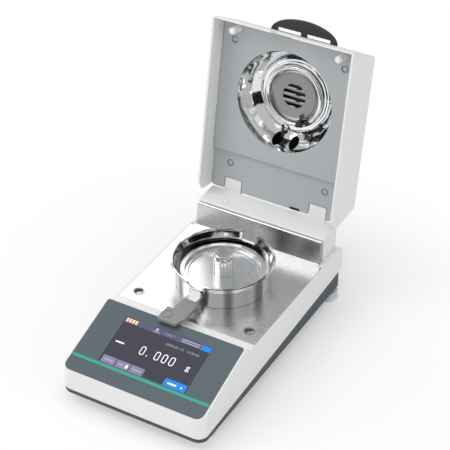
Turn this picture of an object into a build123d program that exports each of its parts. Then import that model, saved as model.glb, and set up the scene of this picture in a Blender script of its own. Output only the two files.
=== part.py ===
"""Moisture analyzer: a balance in a sloping housing, with a hinged lid that holds a ring lamp.

Millimetres, +Z up, +Y to the rear, X = 0 in the plane of symmetry. Everything is laid out from the
pan's axis (X = Y = 0) and the table (Z = 0), and is moved at the end so that the origin is the middle
of the whole box on the table.
"""
import math
import os

from build123d import *

# Base: outline, heights above the table
foot_rise = 12.0            # table to the tray's underside
half_width = 90.0           # housing at the deck, and the lid
side_draft = 1.2            # how much wider each side is at its foot
front_y = -201.0            # front wall at the tray
rear_y = 132.5              # rearmost face of the housing
deck_z = 68.0
panel_bottom_z = 46.0
panel_tilt = 18.0           # degrees
panel_slant = 101.0
split_front_z = 18.0        # seam between tray and housing, at the front
split_rear_z = 33.0         # and at the rear
overhang = 8.5              # rear wall beyond the tray
overhang_drop = 8.5         # slope behind the hinge block
overhang_low_z = 37.0
wall = 2.6
plan_radius = 12.0          # front corners in plan
rear_radius = 5.0
edge_radius = 1.6
ridge_run = 0.9             # run behind the ridge for each millimetre of its drop
seam_gap = 0.3              # between parts that only meet

# Display
panel_border = 1.0          # panel left clear above and below the overlay
overlay_margin = 2.0        # and at its sides
overlay_thick = 1.0
overlay_top_radius = 3.0
overlay_low_radius = 9.0
screen_width = 111.0
screen_height = 63.0
screen_from_top = 12.9
screen_thick = 1.6
frame_thick = 4.0
frame_border = 4.0

# Steel deck
sheet = 1.0
deck_margin = 0.8           # housing beside the deck
deck_front_y = -86.0
deck_rear_y = 80.0
riser_margin = 6.2          # housing beside the riser
riser_lean = 4.5            # how far the riser leans back
riser_top_z = 97.0
lip_depth = 3.4
bend_radius = 2.0
spindle_hole_radius = 9.0
cup_from_side = 16.7
cup_from_front = 18.0
cup_radius = 7.0
cup_depth = 5.0
cup_wall = 0.8

# Hinge and hinge block
lid_lean = 10.0             # degrees past upright when open
lid_gap = 4.7               # deck to the closed lid's rim
hinge_depth = 33.0          # axis behind the lid's rim plane
hinge_below = 7.5           # axis below the lid's reference height
block_margin = 5.5          # housing beside the block
block_rear_y = 121.5
block_gap = 2.2             # block's top to the closed liner
block_wall = 3.0
knuckle_x = 57.5
knuckle_width = 22.0
knuckle_radius = 6.5
pin_radius = 1.6
ear_thick = 2.0
pin_fit = 0.05              # running clearance on radius
bush_radius = 2.4
nose_radius = 4.0           # rounded ends of the ears
lug_forward = 3.3           # lug's face in front of the hinge line, with the lid open
lug_back = 2.5
lug_rise = 9.1

# Lid
lid_height = 211.0
lid_depth = 65.0
lid_wall = 2.6
lid_taper = 22.5            # front wall, rim to top
toe_depth = 7.7
toe_drop = 11.3
heel_depth = 24.0
heel_drop = 12.6
heel_top_drop = 4.8
lid_edge_radius = 4.0
lid_side_radius = 2.5
vent_count = 6
vent_x = 10.6               # middle of each column of vents
vent_length = 15.8
vent_width = 3.0
liner_depth = 25.0
liner_thick = 1.2
liner_step = 4.5            # lower strip lies deeper
liner_seam = 38.5
liner_end = -13.0
liner_gap = 0.4
notch_top = 2.5
notch_gap = 0.9
reflector_height = 119.5
reflector_radius = 61.7
bowl_flange = 4.0
bowl_sheet = 0.8
bowl_depth = 31.0
bowl_mouth = 8.7            # steep part next to the flange
bowl_shoulder_radius = 53.5
bowl_shoulder_rise = 9.9
bowl_floor_radius = 43.5
bead_radius = 40.0          # bead round the lamp
bead_half = 0.8
bead_spread = 0.6
bead_rise = 2.5
lamp_radius = 35.0
lamp_tube = 3.0
lamp_start_turn = 12.0      # lamp ends, in degrees from the ring's lowest point
lamp_end_turn = 44.0
lamp_lift = 5.0             # lamp's centre in front of the bowl's floor
disc_gap = 0.7              # disc to the lamp, seen from the front
disc_thick = 1.0
disc_rise = 4.0
slot_field = 15.0
slot_width = 5.2
slot_pitch = 7.7
slot_rows = 4
post_hole_x = 10.7
post_hole_height = 65.5
post_hole_radius = 6.0
post_radius = 1.6
rod_x = -8.0                # rod that props the ring, in the left hole
rod_height = 66.5
rod_forward = 3.0           # in front of the ring's middle
stem_x = 12.8               # stem on the lamp's holder
stem_height = 99.0
stem_radius = 1.3
stem_forward = 2.0
cap_radius = 3.4
cap_length = 7.0
probe_radius = 1.5
probe_x = 31.5
probe_height = 75.5
probe_depth = 20.0          # behind the liner
probe_length = 7.0
peg_from_side = 22.0
peg_from_top = 16.6
peg_length = 17.0
peg_radius = 4.2
peg_base_radius = 5.0
upper_screw_from_side = 19.0
upper_screw_from_top = 31.5
lower_screw_from_side = 26.2
lower_screw_height = 22.0
screw_recess_radius = 4.6
screw_recess_depth = 2.4
recess_wall = 0.6
screw_head_radius = 3.1
screw_head_height = 1.8
screw_shank_radius = 1.5
screw_shank_length = 7.0
boss_radius = 4.0
clip_x = 27.5
clip_width = 13.0
clip_height = 3.2
clip_thick = 2.0

# Lid handle
handle_half = 43.0
handle_reach = 19.5
handle_thick = 3.6
handle_seat = 9.0           # how far its foot goes into the lid
window_length = 31.0
window_height = 5.2
window_rib = 7.0
window_radius = 1.0

# Draft shield, pan, handler, weight
shield_base_radius = 55.6
shield_rim_radius = 60.3
shield_height = 30.0
shield_wall = 1.0
shield_bead = 1.1
shield_shoulder = 21.0      # height at which the wall starts to flare
shield_turn = -3.0          # degrees about the pan's axis
notch_width = 18.0
notch_depth = 18.2
rear_notch_width = 18.0
rear_notch_depth = 12.0
pan_radius = 49.5
pan_floor_radius = 41.0
pan_step_radius = 44.5
pan_depth = 6.0
pan_sheet = 0.5
pan_lip = 0.9
pan_seat_z = 78.0           # underside of the pan's floor
support_rim_radius = 34.0
support_arm_width = 5.0
support_arm_thick = 1.6
support_hub_radius = 7.0
support_hub_height = 5.0
support_arms = 3
spindle_radius = 3.0
spindle_fit = 0.05
handler_sheet = 1.2
handler_inner = 45.3
handler_outer = 48.8
handler_plate_width = 15.6
handler_plate_y = -58.0     # inner face of the plate that fills the notch
handler_plate_top = 92.0
neck_left = -11.5
neck_right = 9.2
neck_clear = 10.7           # wide part of the neck to the shield's rim, in plan
paddle_left = -19.0
paddle_start_y = -90.6
paddle_end_y = -114.0
paddle_cut_width = 4.5      # right front corner of the paddle
paddle_cut_length = 14.6
paddle_thick = 3.6
paddle_z = 79.0
paddle_radius = 2.0
thumb_radius = 6.5
rest_gap = 0.1
handler_notch_gap = 3.5     # round the neck in the lid's rim
thumb_depth = 0.5
weight_radius = 11.2
weight_body = 20.0
weight_neck_radius = 8.4
weight_neck = 3.4
weight_head_radius = 10.9
weight_head = 4.6
weight_line = 9.0
weight_line_depth = 0.4
weight_edge = 0.8

# Lid switch
plunger_x = -53.6
plunger_from_front = 11.1   # behind the block's front face
plunger_radius = 2.4
plunger_rise = 1.7
plunger_length = 14.0
plunger_fit = 0.06
guide_radius = 4.2
guide_length = 8.0
plunger_flange = 3.6

# Feet
front_foot_from_side = 18.0
rear_foot_from_side = 9.0
foot_from_front = 33.0
foot_from_rear = 13.0
pad_radius = 14.0
pad_height = 5.0
wheel_radius = 13.0
wheel_height = 4.5
wheel_ribs = 24
wheel_rib_depth = 1.0
stud_radius = 4.0
stud_length = 16.0
insert_radius = 6.5
insert_length = 9.0
stud_fit = 0.08
pad_spigot_radius = 2.6
pad_spigot_height = 3.0

# Rear sockets
socket_z = 48.5
inlet_x = -52.0
inlet_width = 27.0
inlet_height = 19.5
inlet_depth = 26.0
inlet_bore_width = 24.0
inlet_bore_height = 16.0
inlet_bore_depth = 17.0
inlet_blade_width = 4.0
inlet_blade_thick = 2.0
inlet_blade_length = 13.0
inlet_blade_x = 7.0
inlet_blade_z = 3.0
flange_border = 1.8
flange_thick = 1.6
switch_x = -22.0
switch_width = 13.0
switch_height = 19.0
switch_depth = 18.0
switch_wall = 1.2
rocker_tilt = 10.0
rocker_sink = 5.2
rocker_thick = 3.2
rocker_gap = 0.5
rocker_end_gap = 1.7
port_x = 34.0
port_width = 31.0
port_height = 12.5
port_depth = 11.0
port_shell_width = 17.0
port_shell_height = 8.4
port_shell_reach = 5.8
port_shell_wall = 0.6
port_jack_x = 12.5
port_jack_radius = 2.6
port_jack_length = 5.0

# Inside the base
tray_floor = 2.4
rib_thick = 2.0
rib_height = 6.0
board_thick = 1.6
board_length = 60.0
board_width = 110.0
board_from_front = 51.0
board_lift = 5.0
chip_size = 14.0
chip_height = 2.5
supply_width = 42.0
supply_length = 90.0
supply_from_side = 42.0
supply_y = 42.0
transformer_size = 28.0
transformer_height = 20.0
cell_length = 80.0
cell_width = 24.0
cell_height = 16.0
cell_hole_radius = 5.0
cell_hole_spacing = 13.0
cell_lift = 6.0
mount_length = 22.0
screw_post_radius = 4.0
tray_screw_from_side = 12.0
tray_screw_from_front = 15.0
tray_screw_from_rear = 50.0

# Worked out from the values above
overlay_half = half_width - overlay_margin
overlay_length = panel_slant - 2 * panel_border
deck_half = half_width - deck_margin
riser_half = half_width - riser_margin
block_half = half_width - block_margin
lid_half = half_width
cup_x = deck_half - cup_from_side
cup_y = deck_front_y + cup_from_front
front_foot_x = half_width - front_foot_from_side
rear_foot_x = half_width - rear_foot_from_side
foot_front_y = front_y + foot_from_front
tray_screw_x = half_width - tray_screw_from_side
tray_screw_front_y = front_y + tray_screw_from_front
board_y = front_y + board_from_front
supply_x = half_width - supply_from_side
disc_radius = lamp_radius - lamp_tube - disc_gap
peg_x = lid_half - peg_from_side
peg_height = lid_height - peg_from_top
hinge_y = reflector_height + hinge_below
rim_closed_z = deck_z + lid_gap
hinge_z = rim_closed_z + hinge_depth
liner_low_depth = liner_depth + liner_step
block_top_z = rim_closed_z + liner_low_depth - block_gap
tray_rear_y = rear_y - overhang
foot_rear_y = tray_rear_y - foot_from_rear
tray_screw_rear_y = tray_rear_y - tray_screw_from_rear
tilt = math.radians(panel_tilt)
panel_top_y = front_y + panel_slant * math.cos(tilt)
panel_top_z = panel_bottom_z + panel_slant * math.sin(tilt)
ridge_y = panel_top_y + (panel_top_z - deck_z) * ridge_run
riser_top_y = deck_rear_y + riser_lean
block_front_y = riser_top_y + lip_depth
plunger_y = block_front_y + plunger_from_front
diagonal = math.sqrt(2) / 2
inner_half = half_width - wall
lid_frame = Pos(0, hinge_y, hinge_z) * Rot(-lid_lean, 0, 0) * Pos(0, -hinge_depth, hinge_below)
pan_rim_z = pan_seat_z + pan_depth
handler_low_z = deck_z + seam_gap + shield_height - notch_depth + rest_gap
ledge_top_z = deck_z - sheet - seam_gap
ledge_low_z = ledge_top_z - wall
cup_floor_z = deck_z - cup_depth
lid_front_slope = lid_taper / lid_depth
shield_place = Pos(0, 0, deck_z + seam_gap) * Rot(0, 0, shield_turn)
tray_z = foot_rise


def block(x0, x1, y0, y1, z0, z1):
    """A box between six planes."""
    return Pos((x0 + x1) / 2, (y0 + y1) / 2, (z0 + z1) / 2) * Box(x1 - x0, y1 - y0, z1 - z0)


def upright(radius, z0, z1, x=0.0, y=0.0):
    """A cylinder along Z between two heights."""
    return Pos(x, y, (z0 + z1) / 2) * Cylinder(radius, z1 - z0)


def across(points, half):
    """A side outline in (y, z), drawn through the width from -half to half."""
    corners = [point for index, point in enumerate(points) if point != points[index - 1]]
    face = make_face(Polyline(*[(0, y, z) for y, z in corners], close=True))
    return extrude(face, half, dir=(1, 0, 0), both=True)


def along_y(radius, y0, y1, x=0.0, z=0.0):
    """A cylinder along Y between two depths."""
    return Pos(x, (y0 + y1) / 2, z) * Rot(90, 0, 0) * Cylinder(radius, y1 - y0)


def along_x(radius, x0, x1, y=0.0, z=0.0):
    """A cylinder along X between two sides."""
    return Pos((x0 + x1) / 2, y, z) * Rot(0, 90, 0) * Cylinder(radius, x1 - x0)


def plan(half, y0, y1, front_radius, back_radius, z0, z1):
    """An upright prism with the housing's plan: large front corners and small rear ones."""
    body = block(-half, half, y0, y1, z0, z1)
    front = body.edges().filter_by(Axis.Z).group_by(Axis.Y)[0]
    body = fillet(front, front_radius)
    rear = body.edges().filter_by(Axis.Z).group_by(Axis.Y)[-1]
    return fillet(rear, back_radius)


def mirrored(shape):
    """The same piece on both sides of the plane of symmetry."""
    return Compound([shape, mirror(shape, Plane.YZ)])


def on_panel(shape):
    """Puts a piece drawn flat, +Y up the slope and Z = 0 on the panel's face, on the sloping panel."""
    return Pos(0, front_y, panel_bottom_z) * Rot(panel_tilt, 0, 0) * shape


def revolve_profile(points):
    """Turns a closed outline in (radius, height) about Z."""
    return revolve(make_face(Polyline(*[(r, 0, z) for r, z in points], close=True)), Axis.Z)


def housing_outline(inset, floor_drop):
    """Side view of the base above its seam, moved in by inset."""
    slope = inset / math.cos(tilt)
    return [
        (front_y + inset, split_front_z - floor_drop),
        (front_y + inset, panel_bottom_z - slope + inset * math.tan(tilt)),
        (panel_top_y, panel_top_z - slope),
        (ridge_y, deck_z - inset),
        (block_rear_y, deck_z - inset),
        (rear_y - inset, deck_z - overhang_drop - inset),
        (rear_y - inset, overhang_low_z + inset),
        (tray_rear_y - inset, split_rear_z + inset),
        (tray_rear_y - inset, split_rear_z - floor_drop),
    ]


def base_body(half, inset, floor_drop):
    """The base as a solid: the side view trimmed by the plan with rounded corners."""
    body = across(housing_outline(inset, floor_drop), half + side_draft)
    tall = plan(half, front_y + inset, rear_y - inset, plan_radius - inset, rear_radius - inset / 2,
                tray_z, panel_top_z + wall)
    return body & tall


def drafted_sides(body):
    """Trims a base solid by the two sides, which come in towards the deck and the ridge."""
    top_z = panel_top_z + wall
    top_half = half_width - side_draft * (top_z - deck_z) / (deck_z - tray_z)
    low = Pos(0, 0, tray_z) * Rectangle(2 * (half_width + side_draft), 4 * rear_y)
    high = Pos(0, 0, top_z) * Rectangle(2 * top_half, 4 * rear_y)
    return body & loft([low, high])


def upper_housing():
    """Moulded shell with the sloping panel, the ridge, the rear overhang and its openings."""
    outer = drafted_sides(base_body(half_width + side_draft, 0, 0))
    inner = base_body(inner_half, wall, wall)
    shell = outer - inner
    recess = block(-overlay_half - seam_gap, overlay_half + seam_gap, panel_border - seam_gap,
                   panel_border + overlay_length + seam_gap, -overlay_thick, overlay_thick)
    corners = recess.edges().filter_by(Axis.Z)
    recess = fillet(corners.group_by(Axis.Y)[0], overlay_low_radius)
    recess = fillet(recess.edges().filter_by(Axis.Z).group_by(Axis.Y)[-1], overlay_top_radius)
    shell -= on_panel(recess)
    screen_low = panel_border + overlay_length - screen_from_top - screen_height
    window = block(-screen_width / 2 - seam_gap, screen_width / 2 + seam_gap, screen_low - seam_gap,
                   screen_low + screen_height + seam_gap, -2 * wall, overlay_thick)
    shell -= on_panel(window)
    shell -= block(-deck_half - seam_gap, deck_half + seam_gap, deck_front_y - seam_gap,
                   deck_rear_y, deck_z - sheet - seam_gap, panel_top_z)
    shell -= block(-riser_half - seam_gap, riser_half + seam_gap, deck_front_y - seam_gap,
                   riser_top_y + seam_gap, deck_z - sheet - seam_gap, panel_top_z)
    ledge = block(-half_width + edge_radius, half_width - edge_radius, deck_front_y - 2 * wall,
                  riser_top_y, ledge_low_z, ledge_top_z)
    hole = block(-half_width + 3 * wall, half_width - 3 * wall, deck_front_y + 2 * wall,
                 deck_rear_y - 2 * wall, ledge_low_z, deck_z)
    shell = shell - hole + ((ledge - hole) & outer)
    for sx in (-1, 1):
        near, far = sx * (cup_x - screw_post_radius), sx * (inner_half + wall / 2)
        tab = block(min(near, far), max(near, far), cup_y - screw_post_radius, cup_y + screw_post_radius,
                    cup_floor_z - seam_gap - 2 * wall, cup_floor_z - seam_gap)
        shell += tab - upright(screw_shank_radius, tray_z, deck_z, sx * cup_x, cup_y)
    shell -= block(-block_half + block_wall, block_half - block_wall, block_front_y + block_wall,
                   block_rear_y - block_wall, deck_z - 2 * wall, deck_z + wall)
    for x, width, height in socket_cuts():
        shell -= block(x - width / 2, x + width / 2, tray_rear_y - wall, rear_y + wall,
                       socket_z - height / 2, socket_z + height / 2)
    for x, y in tray_screw_places():
        post = upright(screw_post_radius, tray_z + tray_floor + screw_post_radius, ledge_low_z, x, y)
        bore = upright(screw_shank_radius, tray_z, ledge_low_z - 4 * wall, x, y)
        shell += (post & inner) - bore
    return shell


def socket_cuts():
    """Openings in the rear wall: place, width and height."""
    fit = 2 * seam_gap
    return [
        (inlet_x, inlet_width + fit, inlet_height + fit),
        (switch_x, switch_width + fit, switch_height + fit),
        (port_x, port_width + fit, port_height + fit),
    ]


def tray_screw_places():
    """Four screws that hold the tray to the housing."""
    return [(sx * tray_screw_x, y) for sx in (-1, 1) for y in (tray_screw_front_y, tray_screw_rear_y)]


def foot_places():
    """Name and place of each levelling foot."""
    return [
        ("front_left", -front_foot_x, foot_front_y),
        ("front_right", front_foot_x, foot_front_y),
        ("rear_left", -rear_foot_x, foot_rear_y),
        ("rear_right", rear_foot_x, foot_rear_y),
    ]


def tray_outline(inset, floor, above):
    """Side view of the tray, with its seam rising to the rear."""
    return [
        (front_y + inset, tray_z + floor),
        (tray_rear_y - inset, tray_z + floor),
        (tray_rear_y - inset, split_rear_z - seam_gap + above),
        (front_y + inset, split_front_z - seam_gap + above),
    ]


def bottom_tray():
    """Dark tray with a floor, ribs, foot bosses and vent slots."""
    half = half_width + side_draft
    tall = plan(half, front_y, tray_rear_y, plan_radius, rear_radius, tray_z, deck_z)
    outer = across(tray_outline(0, 0, 0), half) & tall
    hollow = plan(half - wall, front_y + wall, tray_rear_y - wall, plan_radius - wall,
                  rear_radius - wall, tray_z, deck_z)
    body = outer - (across(tray_outline(wall, tray_floor, wall), half) & hollow)
    bottom = body.faces().sort_by(Axis.Z)[0]
    body = fillet(bottom.outer_wire().edges(), edge_radius)
    for x in (-cell_width, cell_width):
        body += block(x - rib_thick / 2, x + rib_thick / 2, board_y + board_length / 2 + wall,
                      foot_rear_y, tray_z + tray_floor / 2,
                      tray_z + tray_floor + rib_height)
    for name, x, y in foot_places():
        body += upright(insert_radius + wall, tray_z + tray_floor / 2, tray_z + insert_length, x, y)
        body -= upright(insert_radius, tray_z - wall, tray_z + 2 * insert_length, x, y)
    for x, y in tray_screw_places():
        body += upright(screw_post_radius, tray_z + tray_floor / 2,
                        tray_z + tray_floor + screw_post_radius - seam_gap, x, y)
        body -= upright(screw_head_radius + seam_gap, tray_z - wall, tray_z + tray_floor, x, y)
        body -= upright(screw_shank_radius, tray_z, tray_z + deck_z, x, y)
    for row in range(-2, 3):
        y = row * slot_pitch - cell_length
        body -= block(-vent_length, vent_length, y - vent_width / 2, y + vent_width / 2, tray_z - wall,
                      tray_z + wall)
    return body


def foot_inserts():
    """Threaded inserts that the feet screw into."""
    return Compound([
        upright(insert_radius, tray_z + seam_gap, tray_z + insert_length, x, y)
        - upright(stud_radius + stud_fit, tray_z - wall, tray_z + 2 * insert_length, x, y)
        for name, x, y in foot_places()
    ])


def foot_pad(x, y):
    """Soft round foot with a spigot that the wheel turns on."""
    outline = [
        (0, 0),
        (pad_radius - edge_radius, 0),
        (pad_radius, edge_radius / 2),
        (pad_radius - edge_radius, pad_height - edge_radius / 2),
        (wheel_radius - 2 * edge_radius, pad_height),
        (pad_spigot_radius, pad_height),
        (pad_spigot_radius, pad_height + pad_spigot_height),
        (0, pad_height + pad_spigot_height),
    ]
    return Pos(x, y, 0) * revolve_profile(outline)


def foot_wheel(x, y):
    """Knurled thumb wheel with its threaded stud."""
    outline = []
    for index in range(2 * wheel_ribs):
        angle = math.pi * index / wheel_ribs
        reach = wheel_radius - (index % 2) * wheel_rib_depth
        outline.append((reach * math.cos(angle), reach * math.sin(angle)))
    low = pad_height + seam_gap
    body = Pos(0, 0, low) * extrude(make_face(Polyline(*outline, close=True)), wheel_height)
    body += upright(stud_radius, low, low + stud_length)
    body -= upright(pad_spigot_radius + pin_fit, 0, pad_height + pad_spigot_height + seam_gap)
    return Pos(x, y, 0) * body


def tray_screws():
    """Screws that hold the tray to the housing's posts."""
    screws = []
    for x, y in tray_screw_places():
        head = upright(screw_head_radius, tray_z + tray_floor - screw_head_height, tray_z + tray_floor, x, y)
        screws.append(head + upright(screw_shank_radius - pin_fit, tray_z + tray_floor,
                                     tray_z + tray_floor + 2 * screw_shank_length, x, y))
    return Compound(screws)


def display_overlay():
    """Front foil with the window for the screen."""
    plate = block(-overlay_half, overlay_half, panel_border, panel_border + overlay_length,
                  -overlay_thick + seam_gap / 3, 0)
    plate = fillet(plate.edges().filter_by(Axis.Z).group_by(Axis.Y)[0], overlay_low_radius)
    plate = fillet(plate.edges().filter_by(Axis.Z).group_by(Axis.Y)[-1], overlay_top_radius)
    low = panel_border + overlay_length - screen_from_top - screen_height
    plate -= block(-screen_width / 2, screen_width / 2, low, low + screen_height, -wall, wall)
    return on_panel(plate)


def lcd_screen():
    """Glass of the screen, set just below the overlay's face."""
    low = panel_border + overlay_length - screen_from_top - screen_height
    top = -seam_gap
    return on_panel(block(-screen_width / 2 + seam_gap / 2, screen_width / 2 - seam_gap / 2,
                          low + seam_gap / 2, low + screen_height - seam_gap / 2,
                          top - screen_thick, top))


def lcd_frame():
    """Metal frame and back of the screen module, behind the panel."""
    low = panel_border + overlay_length - screen_from_top - screen_height
    top = -wall - seam_gap
    grow = frame_border
    back = block(-screen_width / 2 - grow, screen_width / 2 + grow, low - grow,
                 low + screen_height + grow, top - frame_thick, top)
    back += block(-screen_width / 2 + grow, screen_width / 2 - grow, low + grow,
                  low + screen_height - grow, top - frame_thick, -seam_gap - screen_thick)
    return on_panel(back)


def deck_plate():
    """Stainless sheet: the flat deck, the riser that leans back, and its folded lip."""
    z = deck_z
    centre = [
        (deck_front_y, z - sheet / 2),
        (deck_rear_y, z - sheet / 2),
        (riser_top_y, riser_top_z),
        (riser_top_y + lip_depth - sheet, riser_top_z),
    ]
    path = FilletPolyline(*[(0, y, h) for y, h in centre], radius=bend_radius)
    section = Plane(origin=path @ 0, x_dir=(1, 0, 0), z_dir=path % 0) * Rectangle(2 * riser_half, sheet)
    plate = sweep(section, path=path)
    wings = block(-deck_half, deck_half, deck_front_y, deck_rear_y - 2 * bend_radius, z - sheet, z)
    plate = plate + wings
    plate -= upright(spindle_hole_radius, z - wall, z + wall)
    for sx in (-1, 1):
        plate -= upright(cup_radius - cup_wall, z - wall, z + wall, sx * cup_x, cup_y)
    return plate


def deck_cups():
    """Round recesses at the deck's front corners, each with a floor for its screw."""
    outline = [
        (screw_shank_radius, -cup_depth),
        (cup_radius - cup_wall - seam_gap, -cup_depth),
        (cup_radius - cup_wall - seam_gap, 0),
        (cup_radius, 0),
        (cup_radius, seam_gap),
        (cup_radius - 2 * cup_wall, seam_gap),
        (cup_radius - 2 * cup_wall - seam_gap, -cup_depth + cup_wall),
        (screw_shank_radius, -cup_depth + cup_wall),
    ]
    return mirrored(Pos(cup_x, cup_y, deck_z) * revolve_profile(outline))


def deck_screws():
    """Screws at the bottom of the two recesses."""
    seat = deck_z - cup_depth + cup_wall
    head = upright(screw_head_radius, seat, seat + screw_head_height, cup_x, cup_y)
    head = chamfer(head.edges().sort_by(Axis.Z)[-1], screw_head_height / 3)
    shank = upright(screw_shank_radius - pin_fit, seat - screw_shank_length, seat, cup_x, cup_y)
    return mirrored(head + shank)


def lug_point(forward, up):
    """A point of the hinge lugs in (y, z), measured from the hinge line along the open lid."""
    lean = math.radians(lid_lean)
    return (hinge_y - forward * math.cos(lean) + up * math.sin(lean),
            hinge_z + forward * math.sin(lean) + up * math.cos(lean))


def lug_outline():
    """Side view of a hinge lug: its face continues the open liner, its foot runs into the block."""
    lean = math.radians(lid_lean)
    foot_up = (block_top_z - seam_gap - hinge_z - lug_forward * math.sin(lean)) / math.cos(lean)
    return [
        (block_rear_y - block_wall, block_top_z - seam_gap),
        lug_point(lug_forward, foot_up),
        lug_point(lug_forward, lug_rise),
        lug_point(-lug_back, lug_rise),
        lug_point(-knuckle_radius, 0),
        (hinge_y + knuckle_radius * diagonal, hinge_z - knuckle_radius * diagonal),
        (block_rear_y, block_top_z - 4 * block_wall),
        (block_rear_y - block_wall, block_top_z - 4 * block_wall),
    ]


def hinge_block():
    """White block behind the riser, hollow below, with the two hinge lugs."""
    outline = [
        (block_front_y, deck_z + seam_gap),
        (block_front_y, riser_top_z + seam_gap),
        (block_front_y, block_top_z - edge_radius / 2),
        (block_rear_y, block_top_z),
        (block_rear_y, deck_z + seam_gap),
    ]
    body = across(outline, block_half)
    front_edge = body.edges().filter_by(Axis.X).group_by(Axis.Y)[0].sort_by(Axis.Z)[-1]
    body = fillet(front_edge, edge_radius)
    body -= block(-block_half + block_wall, block_half - block_wall, block_front_y + block_wall,
                  block_rear_y - block_wall, deck_z - wall, block_top_z - block_wall)
    for sx in (-1, 1):
        x = sx * knuckle_x
        low, high = x - knuckle_width / 2, x + knuckle_width / 2
        body += Pos(x, 0, 0) * across(lug_outline(), knuckle_width / 2)
        body -= along_x(bush_radius, low - wall, high + wall, hinge_y, hinge_z)
    body -= upright(guide_radius, deck_z, block_top_z + wall, plunger_x, plunger_y)
    return body


def hinge_bushes():
    """Plain bushes pressed into the two knuckles."""
    low, high = knuckle_x - knuckle_width / 2, knuckle_x + knuckle_width / 2
    bush = along_x(bush_radius, low, high, hinge_y, hinge_z)
    return mirrored(bush - along_x(pin_radius + pin_fit, low - wall, high + wall, hinge_y, hinge_z))


def plunger_guide():
    """Bush in the block's top that the lid switch's plunger slides in."""
    top = block_top_z - seam_gap
    guide = upright(guide_radius - seam_gap / 3, top - guide_length, top, plunger_x, plunger_y)
    return guide - upright(plunger_radius + plunger_fit, deck_z, block_top_z + wall, plunger_x, plunger_y)


def lid_plunger():
    """Plunger of the lid switch, with the flange that its spring pushes on."""
    top = block_top_z + plunger_rise
    body = upright(plunger_radius, top - plunger_length, top, plunger_x, plunger_y)
    body = fillet(body.edges().sort_by(Axis.Z)[-1], plunger_radius / 2)
    seat = block_top_z - seam_gap - guide_length - seam_gap
    return body + upright(plunger_flange, seat - 2 * seam_gap - edge_radius, seat, plunger_x, plunger_y)


def load_cell():
    """Strain-gauge beam with its two bored holes, lying on the tray."""
    low = tray_z + tray_floor + cell_lift
    body = block(-cell_width / 2, cell_width / 2, -cell_length + cell_width, cell_width, low,
                 low + cell_height)
    middle = cell_width - cell_length / 2
    bores = Compound([
        along_x(cell_hole_radius, -cell_width, cell_width, middle + s * cell_hole_spacing / 2,
                low + cell_height / 2)
        for s in (-1, 1)
    ])
    return body - bores


def load_cell_mounts():
    """Blocks under the fixed end of the beam, and on its free end under the spindle."""
    low = tray_z + tray_floor
    fixed = block(-cell_width / 2, cell_width / 2, -cell_length + cell_width,
                  -cell_length + cell_width + mount_length, low, low + cell_lift)
    top = low + cell_lift + cell_height
    free = upright(support_hub_radius, top, top + cell_lift)
    return Compound([fixed, free - upright(spindle_radius, top, top + 2 * cell_lift)])


def weighing_spindle():
    """Upright spindle from the load cell through the deck."""
    low = tray_z + tray_floor + cell_lift + cell_height
    return upright(spindle_radius, low, pan_seat_z - support_arm_thick - seam_gap)


def pan_support():
    """Three-armed carrier on the spindle, with a rim ring that the pan sits on."""
    low = pan_seat_z - support_arm_thick
    body = upright(support_hub_radius, low - support_hub_height, pan_seat_z)
    body += upright(support_rim_radius, low, pan_seat_z) \
        - upright(support_rim_radius - support_arm_width / 2, low - wall, pan_seat_z + wall)
    for index in range(support_arms):
        arm = block(0, support_rim_radius - support_arm_width / 4, -support_arm_width / 2,
                    support_arm_width / 2, low, pan_seat_z)
        body += Rot(0, 0, 90 + index * 360 / support_arms) * arm
    socket = upright(spindle_radius + spindle_fit, deck_z, low)
    return body - socket


def draft_shield():
    """Turned ring with a flared, beaded rim and two notches for the handler."""
    top = shield_height
    base, rim = shield_base_radius, shield_rim_radius
    outline = [
        (base - shield_wall, 0),
        (base, 0),
        (base, shield_shoulder),
        (rim - shield_wall / 2, top - 2 * shield_bead),
        (rim, top - shield_bead),
        (rim - shield_bead / 2, top),
        (rim - 2 * shield_bead, top),
        (rim - 2 * shield_bead - shield_wall / 2, top - 2 * shield_bead),
        (base - shield_wall, shield_shoulder + shield_wall / 2),
    ]
    ring = revolve_profile(outline)
    front = block(-notch_width / 2, notch_width / 2, -2 * rim, 0, top - notch_depth, top + wall)
    low_edges = front.edges().filter_by(Axis.Y).group_by(Axis.Z)[0]
    ring -= fillet(low_edges, 2 * shield_wall)
    rear = block(-rear_notch_width / 2, rear_notch_width / 2, 0, 2 * rim, top - rear_notch_depth, top + wall)
    ring -= fillet(rear.edges().filter_by(Axis.Y).group_by(Axis.Z)[0], 2 * shield_wall)
    return shield_place * ring


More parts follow.
